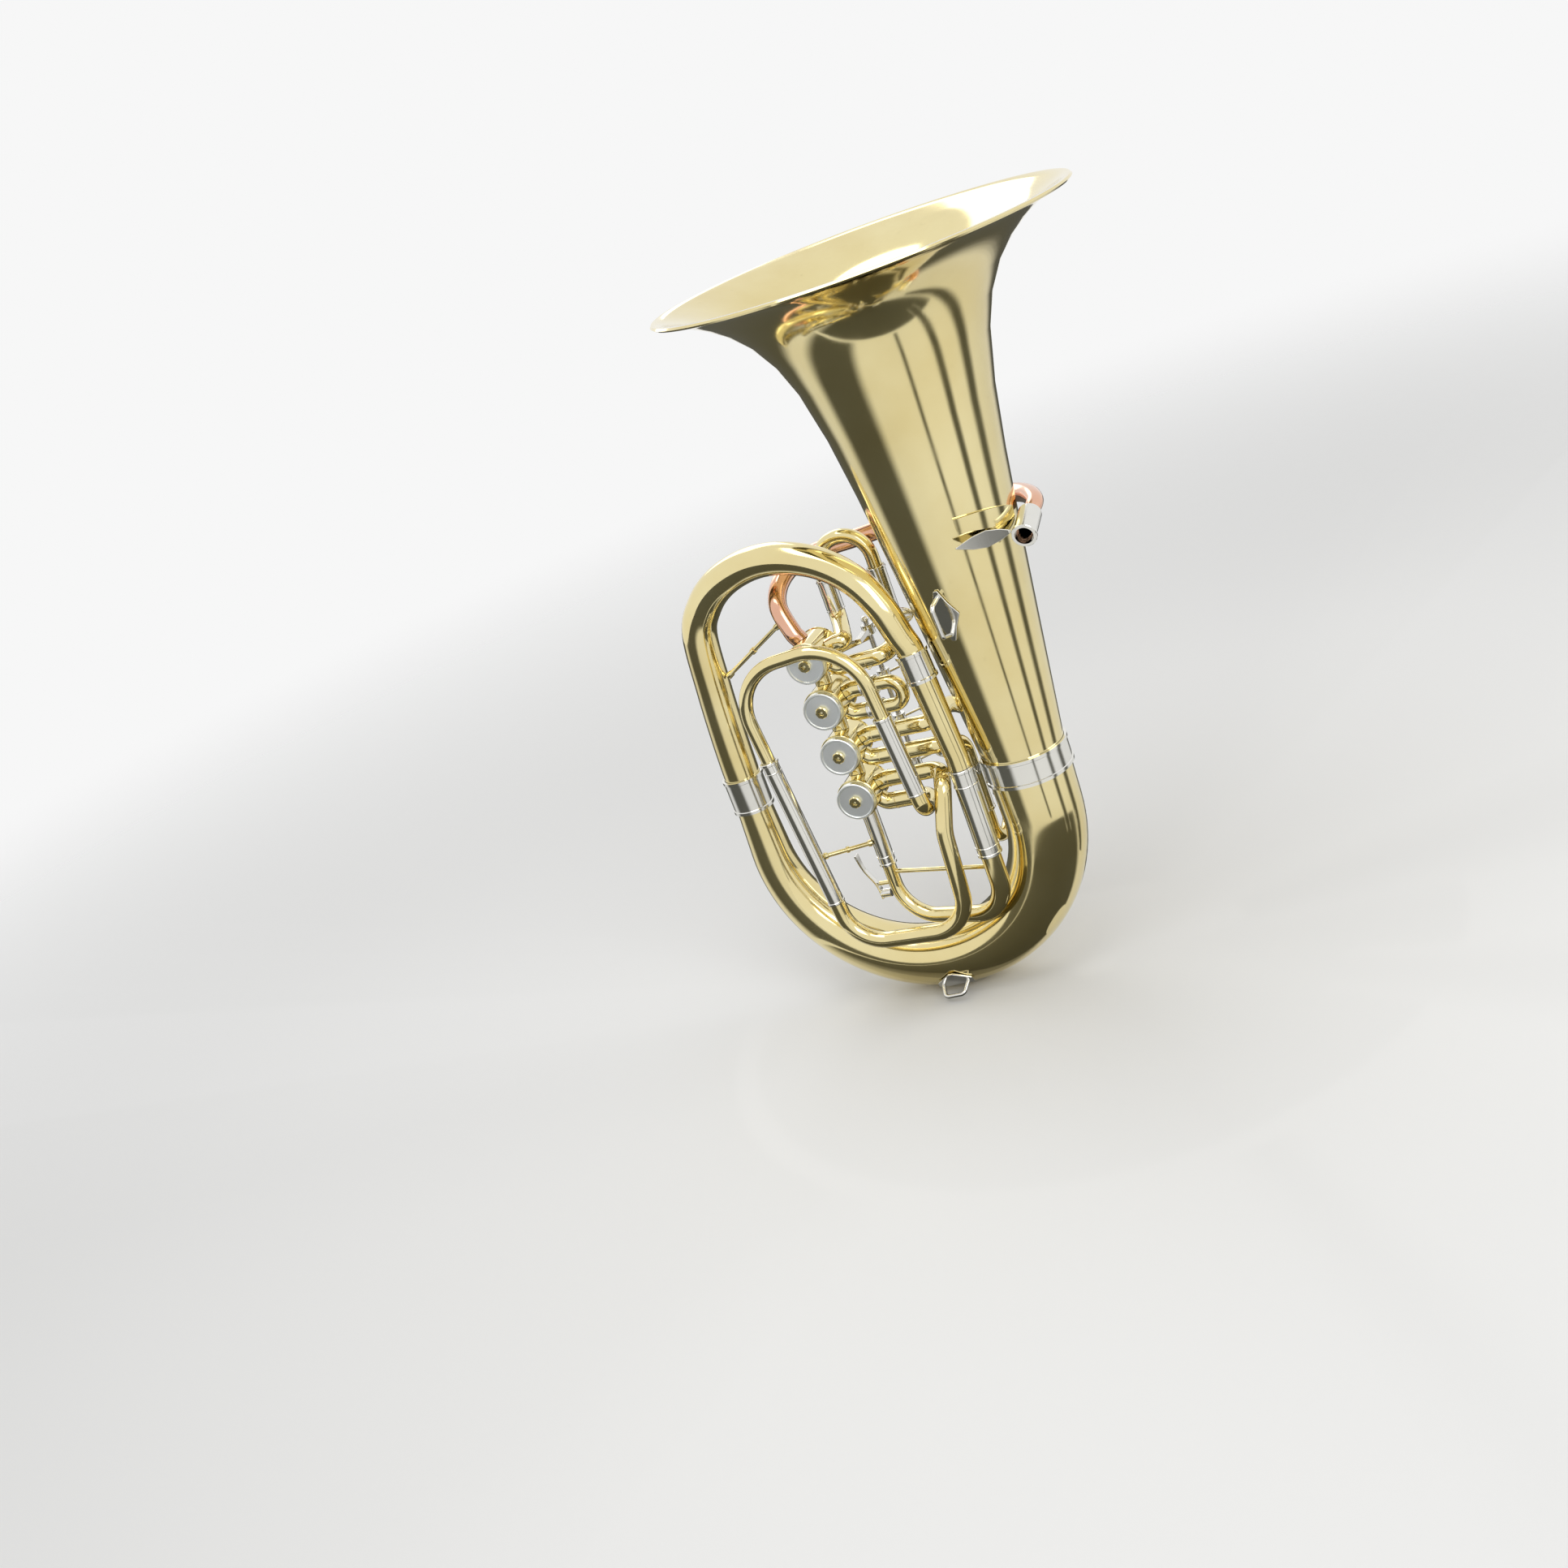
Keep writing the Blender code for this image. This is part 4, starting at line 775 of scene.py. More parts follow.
def make_rotor(number):
    """Rotor with two scooped passages and a spindle at each end."""
    body = (CASING_RADIUS - CASING_WALL) * cos(pi / CASING_SIDES) - RUN_FIT
    back = CASING_BACK - BACK_WALL - GAP
    front = CASING_FRONT + ROTOR_INSET
    depth = back - front
    shape = [(front, 0), (front + 0.2 * depth, 0), (front + 0.34 * depth, 0.6), (PORT_Y, 1)]
    shape += [(back - 0.34 * depth, 0.6), (back - 0.2 * depth, 0), (back, 0)]
    centre = valve_point(number, 0)
    rings = spindle_rings(centre, CASING_FRONT + 1, front)
    for along, share in shape:
        ring = []
        for i in range(ROTOR_SIDES):
            angle = 2 * pi * i / ROTOR_SIDES
            radius = body - ROTOR_SCOOP * share * max(0, cos(2 * angle)) ** 0.7
            ring.append(centre + Vector((cos(angle) * radius, along, -sin(angle) * radius)))
        rings.append(ring)
    rings += spindle_rings(centre, back, STOP_ARM_BACK)
    finish(f"valve_rotor_{number}", skin(rings, False), NICKEL)


def spindle_rings(centre, start, end):
    """Two rings of a rotor's spindle."""
    profile = [(start, SPINDLE_RADIUS), (end, SPINDLE_RADIUS)]
    return turned_rings(centre, BACK, RIGHT, profile, ROTOR_SIDES)


def make_stop_arm(number):
    """Stop arm behind the casing, with the pin that its link pushes."""
    name = f"stop_arm_{number}"
    near = CASING_BACK + GAP
    far = STOP_ARM_BACK
    hole = SPINDLE_RADIUS + GAP
    profile = [(near, hole), (near, STOP_ARM_RADIUS), (far, STOP_ARM_RADIUS), (far, hole)]
    valve_turned(name, number, profile, ROTOR_SIDES, STEEL)
    z = valve_z(number) + PIN_Z
    path = [(VALVE_X + PIN_X, y, z) for y in (far - 1, far + PIN_LENGTH)]
    rod(f"pin_{number}", path, PIN_RADIUS, STEEL, RIGHT, name)


def make_lever(number):
    """Lever with a hub on the axle, an arm to the link and a paddle."""
    name = f"lever_{number}"
    axle = Vector((AXLE_X, AXLE_Y, valve_z(number) + PIN_Z))
    half = HUB_HEIGHT / 2
    hole = AXLE_RADIUS + GAP
    inside = 0.5 * (HUB_RADIUS + hole)
    profile = [(-half, hole), (-half, HUB_RADIUS), (half, HUB_RADIUS), (half, hole)]
    turned(name, axle, UP, profile, 32, NICKEL)
    tip = Vector((AXLE_X, LINK_Y - ARM_WIDTH / 2, axle.z))
    root = axle - BACK * inside
    slab(f"arm_{number}", [tip, root], ARM_WIDTH, ARM_HEIGHT, NICKEL, UP, name)
    end = axle + Vector((PADDLE_REACH, PADDLE_RISE, 0))
    start = end - RIGHT * PADDLE_LENGTH
    side = Vector((start.x - axle.x + PADDLE_LAP, PADDLE_RISE, 0)).normalized()
    path = [axle + side * inside, start + RIGHT * PADDLE_LAP]
    rod(f"stem_{number}", path, STEM_RADIUS, NICKEL, carrier=name)
    rings = []
    for depth, share in PADDLE_EDGE + PADDLE_DOME:
        middle = (start + end) / 2 + BACK * (depth * PADDLE_THICKNESS)
        rings.append(circle(middle, RIGHT * PADDLE_LENGTH, UP * PADDLE_WIDTH, share / 2, ROUND_SIDES))
    finish(f"paddle_{number}", skin(rings, False), NICKEL, name)


def make_link(number):
    """Push link from the lever's arm to the stop arm's pin."""
    z = valve_z(number) + PIN_Z
    start = Vector((AXLE_X - ARM_WIDTH / 2 - LINK_SWING, LINK_Y, z))
    end = Vector((VALVE_X + PIN_X - PIN_RADIUS, LINK_Y, z))
    neck = start - RIGHT * LINK_NOSE_LENGTH
    share = LINK_NOSE_LENGTH / (start - end).length
    size = [(0, LINK_NOSE), (share, LINK_RADIUS), (1, LINK_RADIUS)]
    rod(f"link_{number}", [start, neck, end], size, STEEL)


def axle_ends():
    """Heights of the lever axle's two ends."""
    return post_z(VALVES[-1]) - AXLE_END, valve_z(1) + PIN_Z + HUB_HEIGHT


def make_valves():
    """Four valves with their action, and the tubes that join the casings."""
    for number in VALVES:
        make_casing(number)
        make_cap(number)
        make_rotor(number)
        make_stop_arm(number)
        make_lever(number)
        make_link(number)
    path = [Vector((AXLE_X, AXLE_Y, z)) for z in axle_ends()]
    rod("lever_axle", path, AXLE_RADIUS, STEEL, RIGHT, sides=24)
    for number in VALVES[:-1]:
        below = number + 1
        heights = (valve_z(number) - CASING_RADIUS - GAP, valve_z(below) + CASING_RADIUS + GAP)
        path = [Vector((VALVE_X, PORT_Y, z)) for z in heights]
        seats = ((0, number), (-1, below))
        tube(f"valve_link_{number}{below}", path, PORT_TUBE, TUBE_WALL, BRASS, seats=seats)


def leg_radius(sleeve_radius):
    """Radius of a slide leg that runs inside a sleeve."""
    return (sleeve_radius - SLEEVE_WALL) * cos(pi / SLEEVE_SIDES) - RUN_FIT


def port_start(number, angle, drop):
    """Start and knuckle corner of a tube that leaves a casing and then runs right."""
    centre = valve_point(number, PORT_Y)
    out = radial(angle)
    return [centre + out * (CASING_RADIUS + GAP + 0.5), centre + out * (drop / out.z)]


def upper_port(number):
    """Start of a valve's upper tube."""
    return port_start(number, UPPER_PORT_ANGLE, UPPER_PORT_DROP)


def lower_port(number):
    """Start of a valve's lower tube."""
    return port_start(number, LOWER_PORT_ANGLE, LOWER_PORT_DROP)


def port_tube(name, number, route):
    """Hollow tube that starts on a casing and follows a route."""
    tube(name, run(route, LOOP_BEND, 3), PORT_TUBE, SLEEVE_WALL, BRASS, seats=((0, number),))


def legs(near, far, start, end):
    """Corners of a slide whose two upright legs run between two heights."""
    return [(*near, start), (*near, end), (*far, end), (*far, start)]


def slide(name, corners, bend, first=BACK):
    """A slide: two legs and the bow between them."""
    tube(name, run(corners, bend, 4), leg_radius(PORT_TUBE), SLIDE_WALL, BRASS, first=first)


def make_main_slide():
    """Main tuning slide: two sleeves and a tapered bow with a brace and a water key."""
    right_x, right_y, right_top = BRANCH_FOOT
    left_x, left_y = MAIN_LEFT
    path = [(right_x, right_y, z) for z in (right_top - GAP, MAIN_SLEEVE_LOW)]
    tube("main_sleeve_right", path, MAIN_RIGHT_RADIUS, SLEEVE_WALL, NICKEL)
    path = [(left_x, left_y, z) for z in (valve_z(4) - CASING_RADIUS - GAP, MAIN_LEFT_LOW)]
    tube("main_sleeve_left", path, PORT_TUBE, SLEEVE_WALL, NICKEL, seats=((0, 4),))
    path = run(legs(MAIN_LEFT, (right_x, right_y), MAIN_LEG_TOP, MAIN_BOW_Z), MAIN_BOW_BEND, 4)
    marks = travel(path)
    small = leg_radius(PORT_TUBE)
    large = leg_radius(MAIN_RIGHT_RADIUS)
    size = [(0, small), (marks[1], small), (marks[-2], large), (1, large)]
    tube("main_slide", path, size, SLIDE_WALL, BRASS)
    flat = cos(pi / SLEEVE_SIDES)
    small_face = small * flat - SLIDE_WALL / 2
    large_face = large * flat - SLIDE_WALL / 2
    across = Vector((right_x - left_x, right_y - left_y, 0)).normalized()
    left = Vector((left_x, left_y, MAIN_BRACE_Z)) + across * small_face
    right = Vector((right_x, right_y, MAIN_BRACE_Z)) - across * large_face
    rod("main_brace", [left, right], BRACE_RADIUS, BRASS, carrier="main_slide")
    pivot_x, pivot_z = KEY_PIVOT
    path = [(x, left_y, pivot_z) for x in (left_x - small_face, pivot_x + KEY_THICKNESS + GAP)]
    rod("key_saddle", path, BRACE_RADIUS, BRASS, carrier="main_slide")
    make_water_key(left_x - small, left_y)


def make_water_key(tube_edge, depth):
    """Water key that rocks beside the slide's left leg."""
    pivot = Vector((KEY_PIVOT[0], depth, KEY_PIVOT[1]))
    tip = Vector((KEY_TIP[0], depth, KEY_TIP[1]))
    tail = Vector((pivot.x + 2, depth, KEY_PAD_Z - KEY_PAD_RADIUS))
    shape = [(0, 1.4 * KEY_WIDTH), (0.3, KEY_WIDTH), (0.7, 0.8 * KEY_WIDTH), (1, 1.3 * KEY_WIDTH)]
    path = smooth([tail, pivot, 0.5 * (pivot + tip) + RIGHT * -2, tip], 2)
    slab("water_key", path, shape, KEY_THICKNESS, NICKEL, RIGHT)
    path = [(x, depth, KEY_PAD_Z) for x in (pivot.x + 1.2, tube_edge - 2 * GAP)]
    rod("key_pad", path, KEY_PAD_RADIUS, NICKEL, carrier="water_key")


def make_first_loop():
    """First valve loop: two sleeves behind the top bow and a slide that pulls up."""
    sides = (
        ("left", upper_port(1), FIRST_LEFT, 12, 0.5, 7.5),
        ("right", lower_port(1), FIRST_RIGHT, 0, 2, 6),
    )
    for label, route, leg, early, rise, climb in sides:
        z = route[1].z
        route += [(leg[0] + early, PORT_Y, z + rise), (*leg, z + climb), (*leg, FIRST_SLEEVE_TOP)]
        port_tube(f"first_sleeve_{label}", 1, route)
    half = (FIRST_RIGHT[0] - FIRST_LEFT[0]) / 2
    slide("first_slide", legs(FIRST_LEFT, FIRST_RIGHT, FIRST_LEG_LOW, FIRST_BOW_Z + half), half)


def make_second_loop():
    """Second valve loop: two short sleeves and a slide that pulls right."""
    high = upper_port(2)
    low = lower_port(2)
    for label, port in (("upper", high), ("lower", low)):
        port_tube(f"second_sleeve_{label}", 2, port + [(SECOND_SLEEVE_END, PORT_Y, port[1].z)])
    half = (high[1].z - low[1].z) / 2
    reach = (SECOND_LEG_START, SECOND_BOW_X + half)
    corners = [(x, PORT_Y, high[1].z) for x in reach] + [(x, PORT_Y, low[1].z) for x in reach[::-1]]
    slide("second_slide", corners, half)


def make_third_loop():
    """Third valve loop: two long sleeves behind the branch and a slide that pulls down."""
    far_x, far_y = THIRD_FAR
    route = lower_port(3)
    z = route[1].z
    route += [(THIRD_NEAR[0] - 6, PORT_Y, z), (*THIRD_NEAR, z - 11), (*THIRD_NEAR, THIRD_SLEEVE_LOW)]
    port_tube("third_sleeve_near", 3, route)
    route = upper_port(3)
    z = route[1].z
    turn = Vector((far_x - 13.6, far_y - 24, z - 0.9))
    drop = Vector((far_x, far_y, z - 27))
    path = run(route + [(far_x - 14, PORT_Y, z), turn], LOOP_BEND, 3)
    path += sweep(turn, BACK, drop, -UP, THIRD_SWEEP, 6 * FINE)[1:]
    path.append(Vector((far_x, far_y, THIRD_SLEEVE_LOW)))
    tube("third_sleeve_far", path, PORT_TUBE, SLEEVE_WALL, BRASS, seats=((0, 3),))
    across = Vector((far_x - THIRD_NEAR[0], far_y - THIRD_NEAR[1], 0))
    half = across.length / 2
    corners = legs(THIRD_NEAR, THIRD_FAR, THIRD_LEG_TOP, THIRD_BOW_Z - half)
    slide("third_slide", corners, half, across.normalized().cross(UP))


def fourth_left(z):
    """Point on the fourth loop's leaning left leg."""
    return Vector((FOURTH_LEFT_X - (z - FOURTH_LEFT_LOW) * tan(FOURTH_TILT), FOURTH_Y, z))


def fourth_right(z):
    """Point on the fourth loop's leaning right leg."""
    return Vector((FOURTH_RIGHT_X - (z - lower_port(4)[1].z) * tan(FOURTH_TILT), FOURTH_Y, z))


def fourth_up():
    """Direction in which the fourth slide pulls."""
    return Vector((-sin(FOURTH_TILT), 0, cos(FOURTH_TILT)))


def make_fourth_loop():
    """Fourth valve loop: the oval in front of the valves, whose top bow pulls up."""
    high = upper_port(4)
    low = lower_port(4)
    up = fourth_up()
    left_low = fourth_left(FOURTH_LEFT_LOW)
    left_top = fourth_left(FOURTH_LEFT_TOP)
    right_low = fourth_right(low[1].z)
    right_top = fourth_right(FOURTH_RIGHT_TOP)
    tube("fourth_sleeve_left", [left_low, left_top], PORT_TUBE, SLEEVE_WALL, NICKEL)
    port_tube("fourth_sleeve_right", 4, low + [(right_low.x - 4, PORT_Y, low[1].z), right_low, right_top])
    across = Vector((cos(FOURTH_TILT), 0, sin(FOURTH_TILT)))
    left_corner = left_top + up * FOURTH_TOP_RISE
    right_corner = left_corner + across * (right_top - left_top).dot(across)
    hold = up * FOURTH_LEG_HOLD
    slide("fourth_slide", [left_top - hold, left_corner, right_corner, right_top - hold], FOURTH_TOP_BEND)
    start = left_low - up * GAP
    rise_x = FOURTH_RIGHT_X + 4
    lift = Vector((rise_x + 3.5, FOURTH_Y, FOURTH_LOW_Z + 59))
    climb = Vector((rise_x + 4.5, FOURTH_Y + 1, low[1].z - 20))
    crest = Vector((rise_x + 12.5, FOURTH_Y + 10, high[1].z - 3.5))
    foot = [start + up * FOURTH_LOW_BEND, fourth_left(FOURTH_LOW_Z), (rise_x, FOURTH_Y, FOURTH_LOW_Z), lift]
    path = [start] + run(foot, FOURTH_LOW_BEND, 4)[1:-1]
    path += run([lift, climb, crest], FOURTH_RISE_BEND, 5)[:-1]
    head = [(climb + crest) / 2, crest, (rise_x + 5.5, PORT_Y, high[1].z), high[1], high[0]]
    path += run(head, KNUCKLE_BEND, 3)[1:]
    tube("fourth_lower_bow", path, PORT_TUBE, TUBE_WALL, BRASS, seats=((-1, 4),))
    brace_z = FOURTH_LEFT_LOW + FOURTH_BRACE_RISE
    near = fourth_left(brace_z)
    far = Vector((*MAIN_LEFT, brace_z - FOURTH_BRACE_DROP))
    inset = (far - near).normalized() * (PORT_TUBE + 2.7 * GAP)
    strut("fourth_brace", near + inset, far - inset)


def strut(name, start, end):
    """Round brace with a flange at each end and a bead in the middle."""
    radius = [(0, 2.8), (0.06, 2.6), (0.08, BRACE_RADIUS), (0.47, BRACE_RADIUS), (0.475, 2.6)]
    radius += [(0.525, 2.6), (0.53, BRACE_RADIUS), (0.92, BRACE_RADIUS), (0.94, 2.6), (1, 2.8)]
    path = [start + (end - start) * share for share, _ in radius]
    rod(name, path, radius, BRASS)


def make_mouthpipe():
    """Leadpipe from the first valve round behind the bell, and its fittings."""
    root = RECEIVER_ROOT
    mouth = RECEIVER_MOUTH
    inward = (mouth - root).normalized()
    centre = valve_point(1, PORT_Y)
    out = radial(LEADPIPE_PORT_ANGLE)
    leave = centre + out * (CASING_RADIUS + LEADPIPE_LEAVE)
    arrive = Vector((*LEADPIPE_TURN, root.z + 0.6 * LEADPIPE_RISE))
    follow = Vector((*LEADPIPE_FOLLOW, root.z + 0.85 * LEADPIPE_RISE))
    points = [centre + out * (CASING_RADIUS + GAP + 0.3)]
    points += sweep(leave, out, arrive, (follow - arrive).normalized(), LEADPIPE_SWEEP, 4)
    points.append(follow)
    for place in (LEADPIPE_BACK_LEFT, LEADPIPE_BACK, LEADPIPE_BACK_RIGHT):
        points.append(Vector((*place, root.z + LEADPIPE_RISE)))
    points += [root - inward * LEADPIPE_RUN_IN + UP * -1, root, root + inward * RECEIVER_INSERT]
    size = [(0, LEADPIPE_RADIUS), (0.88, LEADPIPE_RADIUS)]
    size += [(0.955, LEADPIPE_END_RADIUS), (1, LEADPIPE_END_RADIUS)]
    tube("leadpipe", smooth(points, 2), size, TUBE_WALL, COPPER, seats=((0, 1),))
    path = [root, mouth - inward * 6, mouth]
    tube("receiver", path, RECEIVER_RADIUS, RECEIVER_RADIUS - RECEIVER_BORE, NICKEL, first=UP)
    make_saddle()
    make_leaf()
    edge = -BOW_SPACING + LEADPIPE_BRACE_X + LEFT_RADIUS + 2 * GAP
    start = Vector((edge, -0.4, LEFT_JOINT_Z + LEADPIPE_BRACE_RISE))
    goal = (points[1] + points[2]) * 0.5
    strut("leadpipe_brace", start, goal - (goal - start).normalized() * (LEADPIPE_RADIUS + 3 * GAP))


def make_saddle():
    """Curved saddle soldered round the bell beside the receiver."""
    rings = []
    for k in range(SADDLE_STEPS + 1):
        share = k / SADDLE_STEPS
        angle = radians(SADDLE_START + SADDLE_TURN * share)
        middle = RECEIVER_ROOT.z + SADDLE_RISE - SADDLE_FALL * share
        half = SADDLE_HALF + SADDLE_BULGE * sin(pi * share)
        corners = ((-half, GAP), (-half, SADDLE_THICKNESS), (half, SADDLE_THICKNESS), (half, GAP))
        rings.append([bell_point(angle, middle + rise, lift) for rise, lift in corners])
    finish("receiver_saddle", skin(rings, False), BRASS)


def make_leaf():
    """Leaf-shaped plate beside the receiver's mouth."""
    reach = RECEIVER_RADIUS + 4 * GAP
    base = RECEIVER_MOUTH + Vector((-0.88 * reach, 2, 0.48 * reach + 0.5))
    shape = [(0, 1.6), (0.2, 8), (0.45, 12), (0.7, 9), (0.9, 4), (1, 1.2)]
    path = [base + LEAF_REACH * share for share, _ in shape]
    slab("receiver_leaf", path, shape, LEAF_THICKNESS, NICKEL, (0.7, -0.7, 0))


def bail(name, start, end, out, first, carrier):
    """Wire loop that stands off a plate."""
    rise = out * STRAP_STAND
    inset = (end - start).normalized() * STRAP_INSET
    path = run([start, start + rise + inset, end + rise - inset, end], STRAP_BEND, 3)
    rod(name, path, STRAP_WIRE, NICKEL, first, carrier)


def make_upper_ring():
    """Strap ring on a soldered plate on the bell."""
    half = UPPER_STRAP_HEIGHT / 2
    rings = []
    for share in (-1, -0.5, 0, 0.5, 1):
        z = UPPER_STRAP_Z + half * share
        spread = max(0.5 * UPPER_STRAP_WIDTH * (1 - abs(share)), 1.5) / bell_at(z)
        under = [(turn, GAP) for turn in (-1, 0, 1)]
        over = [(turn, STRAP_PLATE) for turn in (1, 0, -1)]
        corners = [(UPPER_STRAP_ANGLE + turn * spread, lift) for turn, lift in under + over]
        rings.append([bell_point(angle, z, lift) for angle, lift in corners])
    finish("upper_strap_ring", skin(rings, False), NICKEL)
    out = Vector((cos(UPPER_STRAP_ANGLE), sin(UPPER_STRAP_ANGLE), 0))
    heights = (UPPER_STRAP_Z - half + 5, UPPER_STRAP_Z + half - 5)
    feet = [bell_point(UPPER_STRAP_ANGLE, z, 0.5 * (GAP + STRAP_PLATE)) for z in heights]
    bail("upper_loop", *feet, out, RIGHT, "upper_strap_ring")


def make_lower_ring():
    """Strap ring on the front of the bottom bow."""
    turn = LOWER_STRAP_ANGLE
    middle = bow_centre(turn)
    outward = (middle - Vector((-BOW_SPACING / 2, 0, BOW_CENTRE_Z))).normalized()
    out = (-BACK * cos(LOWER_STRAP_TILT) + outward * sin(LOWER_STRAP_TILT)).normalized()
    along = Vector((-sin(turn), 0, -cos(turn)))
    up = along.cross(out).normalized()
    if up.z < 0:
        up = -up
    face = middle + out * (BOW_BOTTOM_RADIUS + 2 * GAP + STRAP_PLATE / 2)
    shape = [(0, LOWER_STRAP_WIDTH), (0.5, LOWER_STRAP_WIDTH), (1, 4)]
    path = [face - up * 6, face, face + up * 9]
    slab("lower_strap_ring", path, shape, STRAP_PLATE, NICKEL, out)
    foot = along * (LOWER_STRAP_WIDTH / 2 - 4)
    bail("lower_loop", face - foot - up * 2, face + foot - up * 2, out, UP, "lower_strap_ring")


def band(name, carrier, centre, axis, radius, length, material, lip):
    """Thin ring round a tube, carried by the named piece."""
    half = length / 2
    soft = min(BAND_SOFT, half / 2)
    low = radius - BAND_SINK
    high = radius + lip
    profile = [(-half, low), (-half, high - soft), (-half + soft, high)]
    profile += [(half - soft, high), (half, high - soft), (half, low)]
    first = BACK if abs(axis.normalized().y) < 0.9 else RIGHT
    turned(name, centre, axis, profile, BAND_SIDES, material, first=first, carrier=carrier)


def overlay(loop, side, start, end):
    """Outer slide tube over a leg, with a bead at its open end."""
    name = f"{loop}_{side}_outer"
    carrier = f"{loop}_sleeve_{side}"
    start = Vector(start)
    end = Vector(end)
    radius = PORT_TUBE + OVERLAY_LIFT
    tube(name, [start, start + (end - start) * 0.5, end], radius, OVERLAY_WALL, NICKEL, carrier=carrier)
    way = (end - start).normalized()
    band(name + "_bead", carrier, end - way * 1.2, way, radius, 2.4, NICKEL, 0.5)
    band(name + "_root", carrier, start + way * 0.8, way, radius, 1.6, NICKEL, 0.35)


def add_valve_trim():
    """Cap nuts, casing beads, screw heads on the rotors and knobs on the lever axle."""
    front = CASING_FRONT - GAP - CAP_DEPTH
    nut = [(0.6, 4.9), (-1.2, 4.9), (-1.8, 4.3), (-1.8, 2.3), (-0.9, 1.9), (-0.9, 1), (0.6, 1)]
    nut = [(front + along, radius) for along, radius in nut]
    for number in VALVES:
        valve_turned(f"cap_nut_{number}", number, nut, 8, BRASS, carrier=f"valve_cap_{number}")
    head = [(-0.4, 3.5), (0.5, 3.5), (0.9, 3), (1.2, 2), (1.3, 0.2)]
    head = [(STOP_ARM_BACK + along, radius) for along, radius in head]
    for number in VALVES:
        casing = f"valve_casing_{number}"
        for label, y in (("front", CASING_FRONT + 1.2), ("back", CASING_BACK - 1.2)):
            place = valve_point(number, y)
            band(f"casing_{label}_{number}", casing, place, BACK, CASING_RADIUS, 1.8, BRASS, 0.6)
        valve_turned(f"arm_screw_{number}", number, head, 32, STEEL, False, f"stop_arm_{number}")
    for label, z, way in zip(("low", "high"), axle_ends(), (-1, 1)):
        place = (AXLE_X, AXLE_Y, z)
        name = f"axle_knob_{label}"
        turned(name, place, UP * way, KNOB_PROFILE, 32, NICKEL, False, carrier="lever_axle")


def add_arch():
    """Small curved brace from the main sleeve to the third loop's near leg."""
    start = Vector((BRANCH_FOOT.x + 3, BRANCH_FOOT.y + MAIN_RIGHT_RADIUS - 0.6, ARCH_Z))
    end = Vector((*THIRD_NEAR, ARCH_Z)) + Vector((1.5, -PORT_TUBE - 0.2, 2))
    points = [start, start + ARCH_RISE * 0.7, (start + end) / 2 + ARCH_RISE, end + ARCH_RISE * 0.7, end]
    rod("third_arch", smooth(points, 3), ARCH_RADIUS, NICKEL, RIGHT, "main_sleeve_right")


def soften_edges():
    """Small round on the edges of flat plates."""
    for name, made in PIECES.items():
        if name.startswith(PLATES):
            step = made.modifiers.new("edge", "BEVEL")
            step.width = PLATE_EDGE * MM
            step.segments = 3
            step.limit_method = "ANGLE"
            step.harden_normals = True


def add_overlays():
    """Outer slide tubes over the legs of the first three valve loops."""
    for side, leg, length in (("left", FIRST_LEFT, 26), ("right", FIRST_RIGHT, 40)):
        overlay("first", side, (*leg, FIRST_SLEEVE_TOP - length), (*leg, FIRST_SLEEVE_TOP))
    for side, port in (("upper", upper_port(2)), ("lower", lower_port(2))):
        ends = [(SECOND_SLEEVE_END - length, PORT_Y, port[1].z) for length in (13, 0)]
        overlay("second", side, *ends)
    for side, leg in (("near", THIRD_NEAR), ("far", THIRD_FAR)):
        overlay("third", side, (*leg, THIRD_SLEEVE_LOW + 40), (*leg, THIRD_SLEEVE_LOW))


def add_rings():
    """Ring seams and beads on the valve tubes, the sleeves and the receiver."""
    knuckles = (
        ("first_sleeve_right", lower_port(1)),
        ("third_sleeve_far", upper_port(3)),
        ("fourth_lower_bow", upper_port(4)),
        ("third_sleeve_near", lower_port(3)),
        ("fourth_sleeve_right", lower_port(4)),
    )
    for name, port in knuckles:
        for step in KNUCKLE_RINGS:
            place = (VALVE_X + step, PORT_Y, port[1].z)
            band(f"{name}_ring_{int(step)}", name, place, RIGHT, PORT_TUBE, 1, BRASS, 0.3)
    up = fourth_up()
    ends = [fourth_right(z) for z in (lower_port(4)[1].z + 16, FOURTH_RIGHT_TOP)]
    overlay("fourth", "right", *ends)
    top = fourth_left(FOURTH_LEFT_TOP)
    foot = fourth_left(FOURTH_LEFT_LOW)
    beads = (
        ("top", top - up * 1.2, 2.4, 0.8),
        ("neck", top - up * 9, 1, 0.4),
        ("foot", foot + up * 1, 2, 0.6),
    )
    for label, place, length, lip in beads:
        band(f"fourth_left_{label}", "fourth_sleeve_left", place, up, PORT_TUBE, length, NICKEL, lip)
    right = ("right", BRANCH_FOOT.xy, MAIN_RIGHT_RADIUS)
    left = ("left", MAIN_LEFT, PORT_TUBE)
    rings = (
        (right, MAIN_SLEEVE_LOW + 1.2, 2.4),
        (right, MAIN_SLEEVE_LOW + 8, 1),
        (right, BRANCH_FOOT.z - 2, 2.4),
        (right, BRANCH_FOOT.z - 14, 1),
        (left, MAIN_LEFT_LOW + 1.2, 2.4),
        (left, MAIN_LEFT_LOW + 8, 1),
    )
    for (side, leg, radius), z, length in rings:
        name = f"main_{side}_ring_{int(z)}"
        band(name, f"main_sleeve_{side}", (*leg, z), UP, radius, length, NICKEL, 0.6)
    way = (RECEIVER_MOUTH - RECEIVER_ROOT).normalized()
    band("receiver_lip", "receiver", RECEIVER_MOUTH - way * 1.6, way, RECEIVER_RADIUS, 3, NICKEL, 0.7)


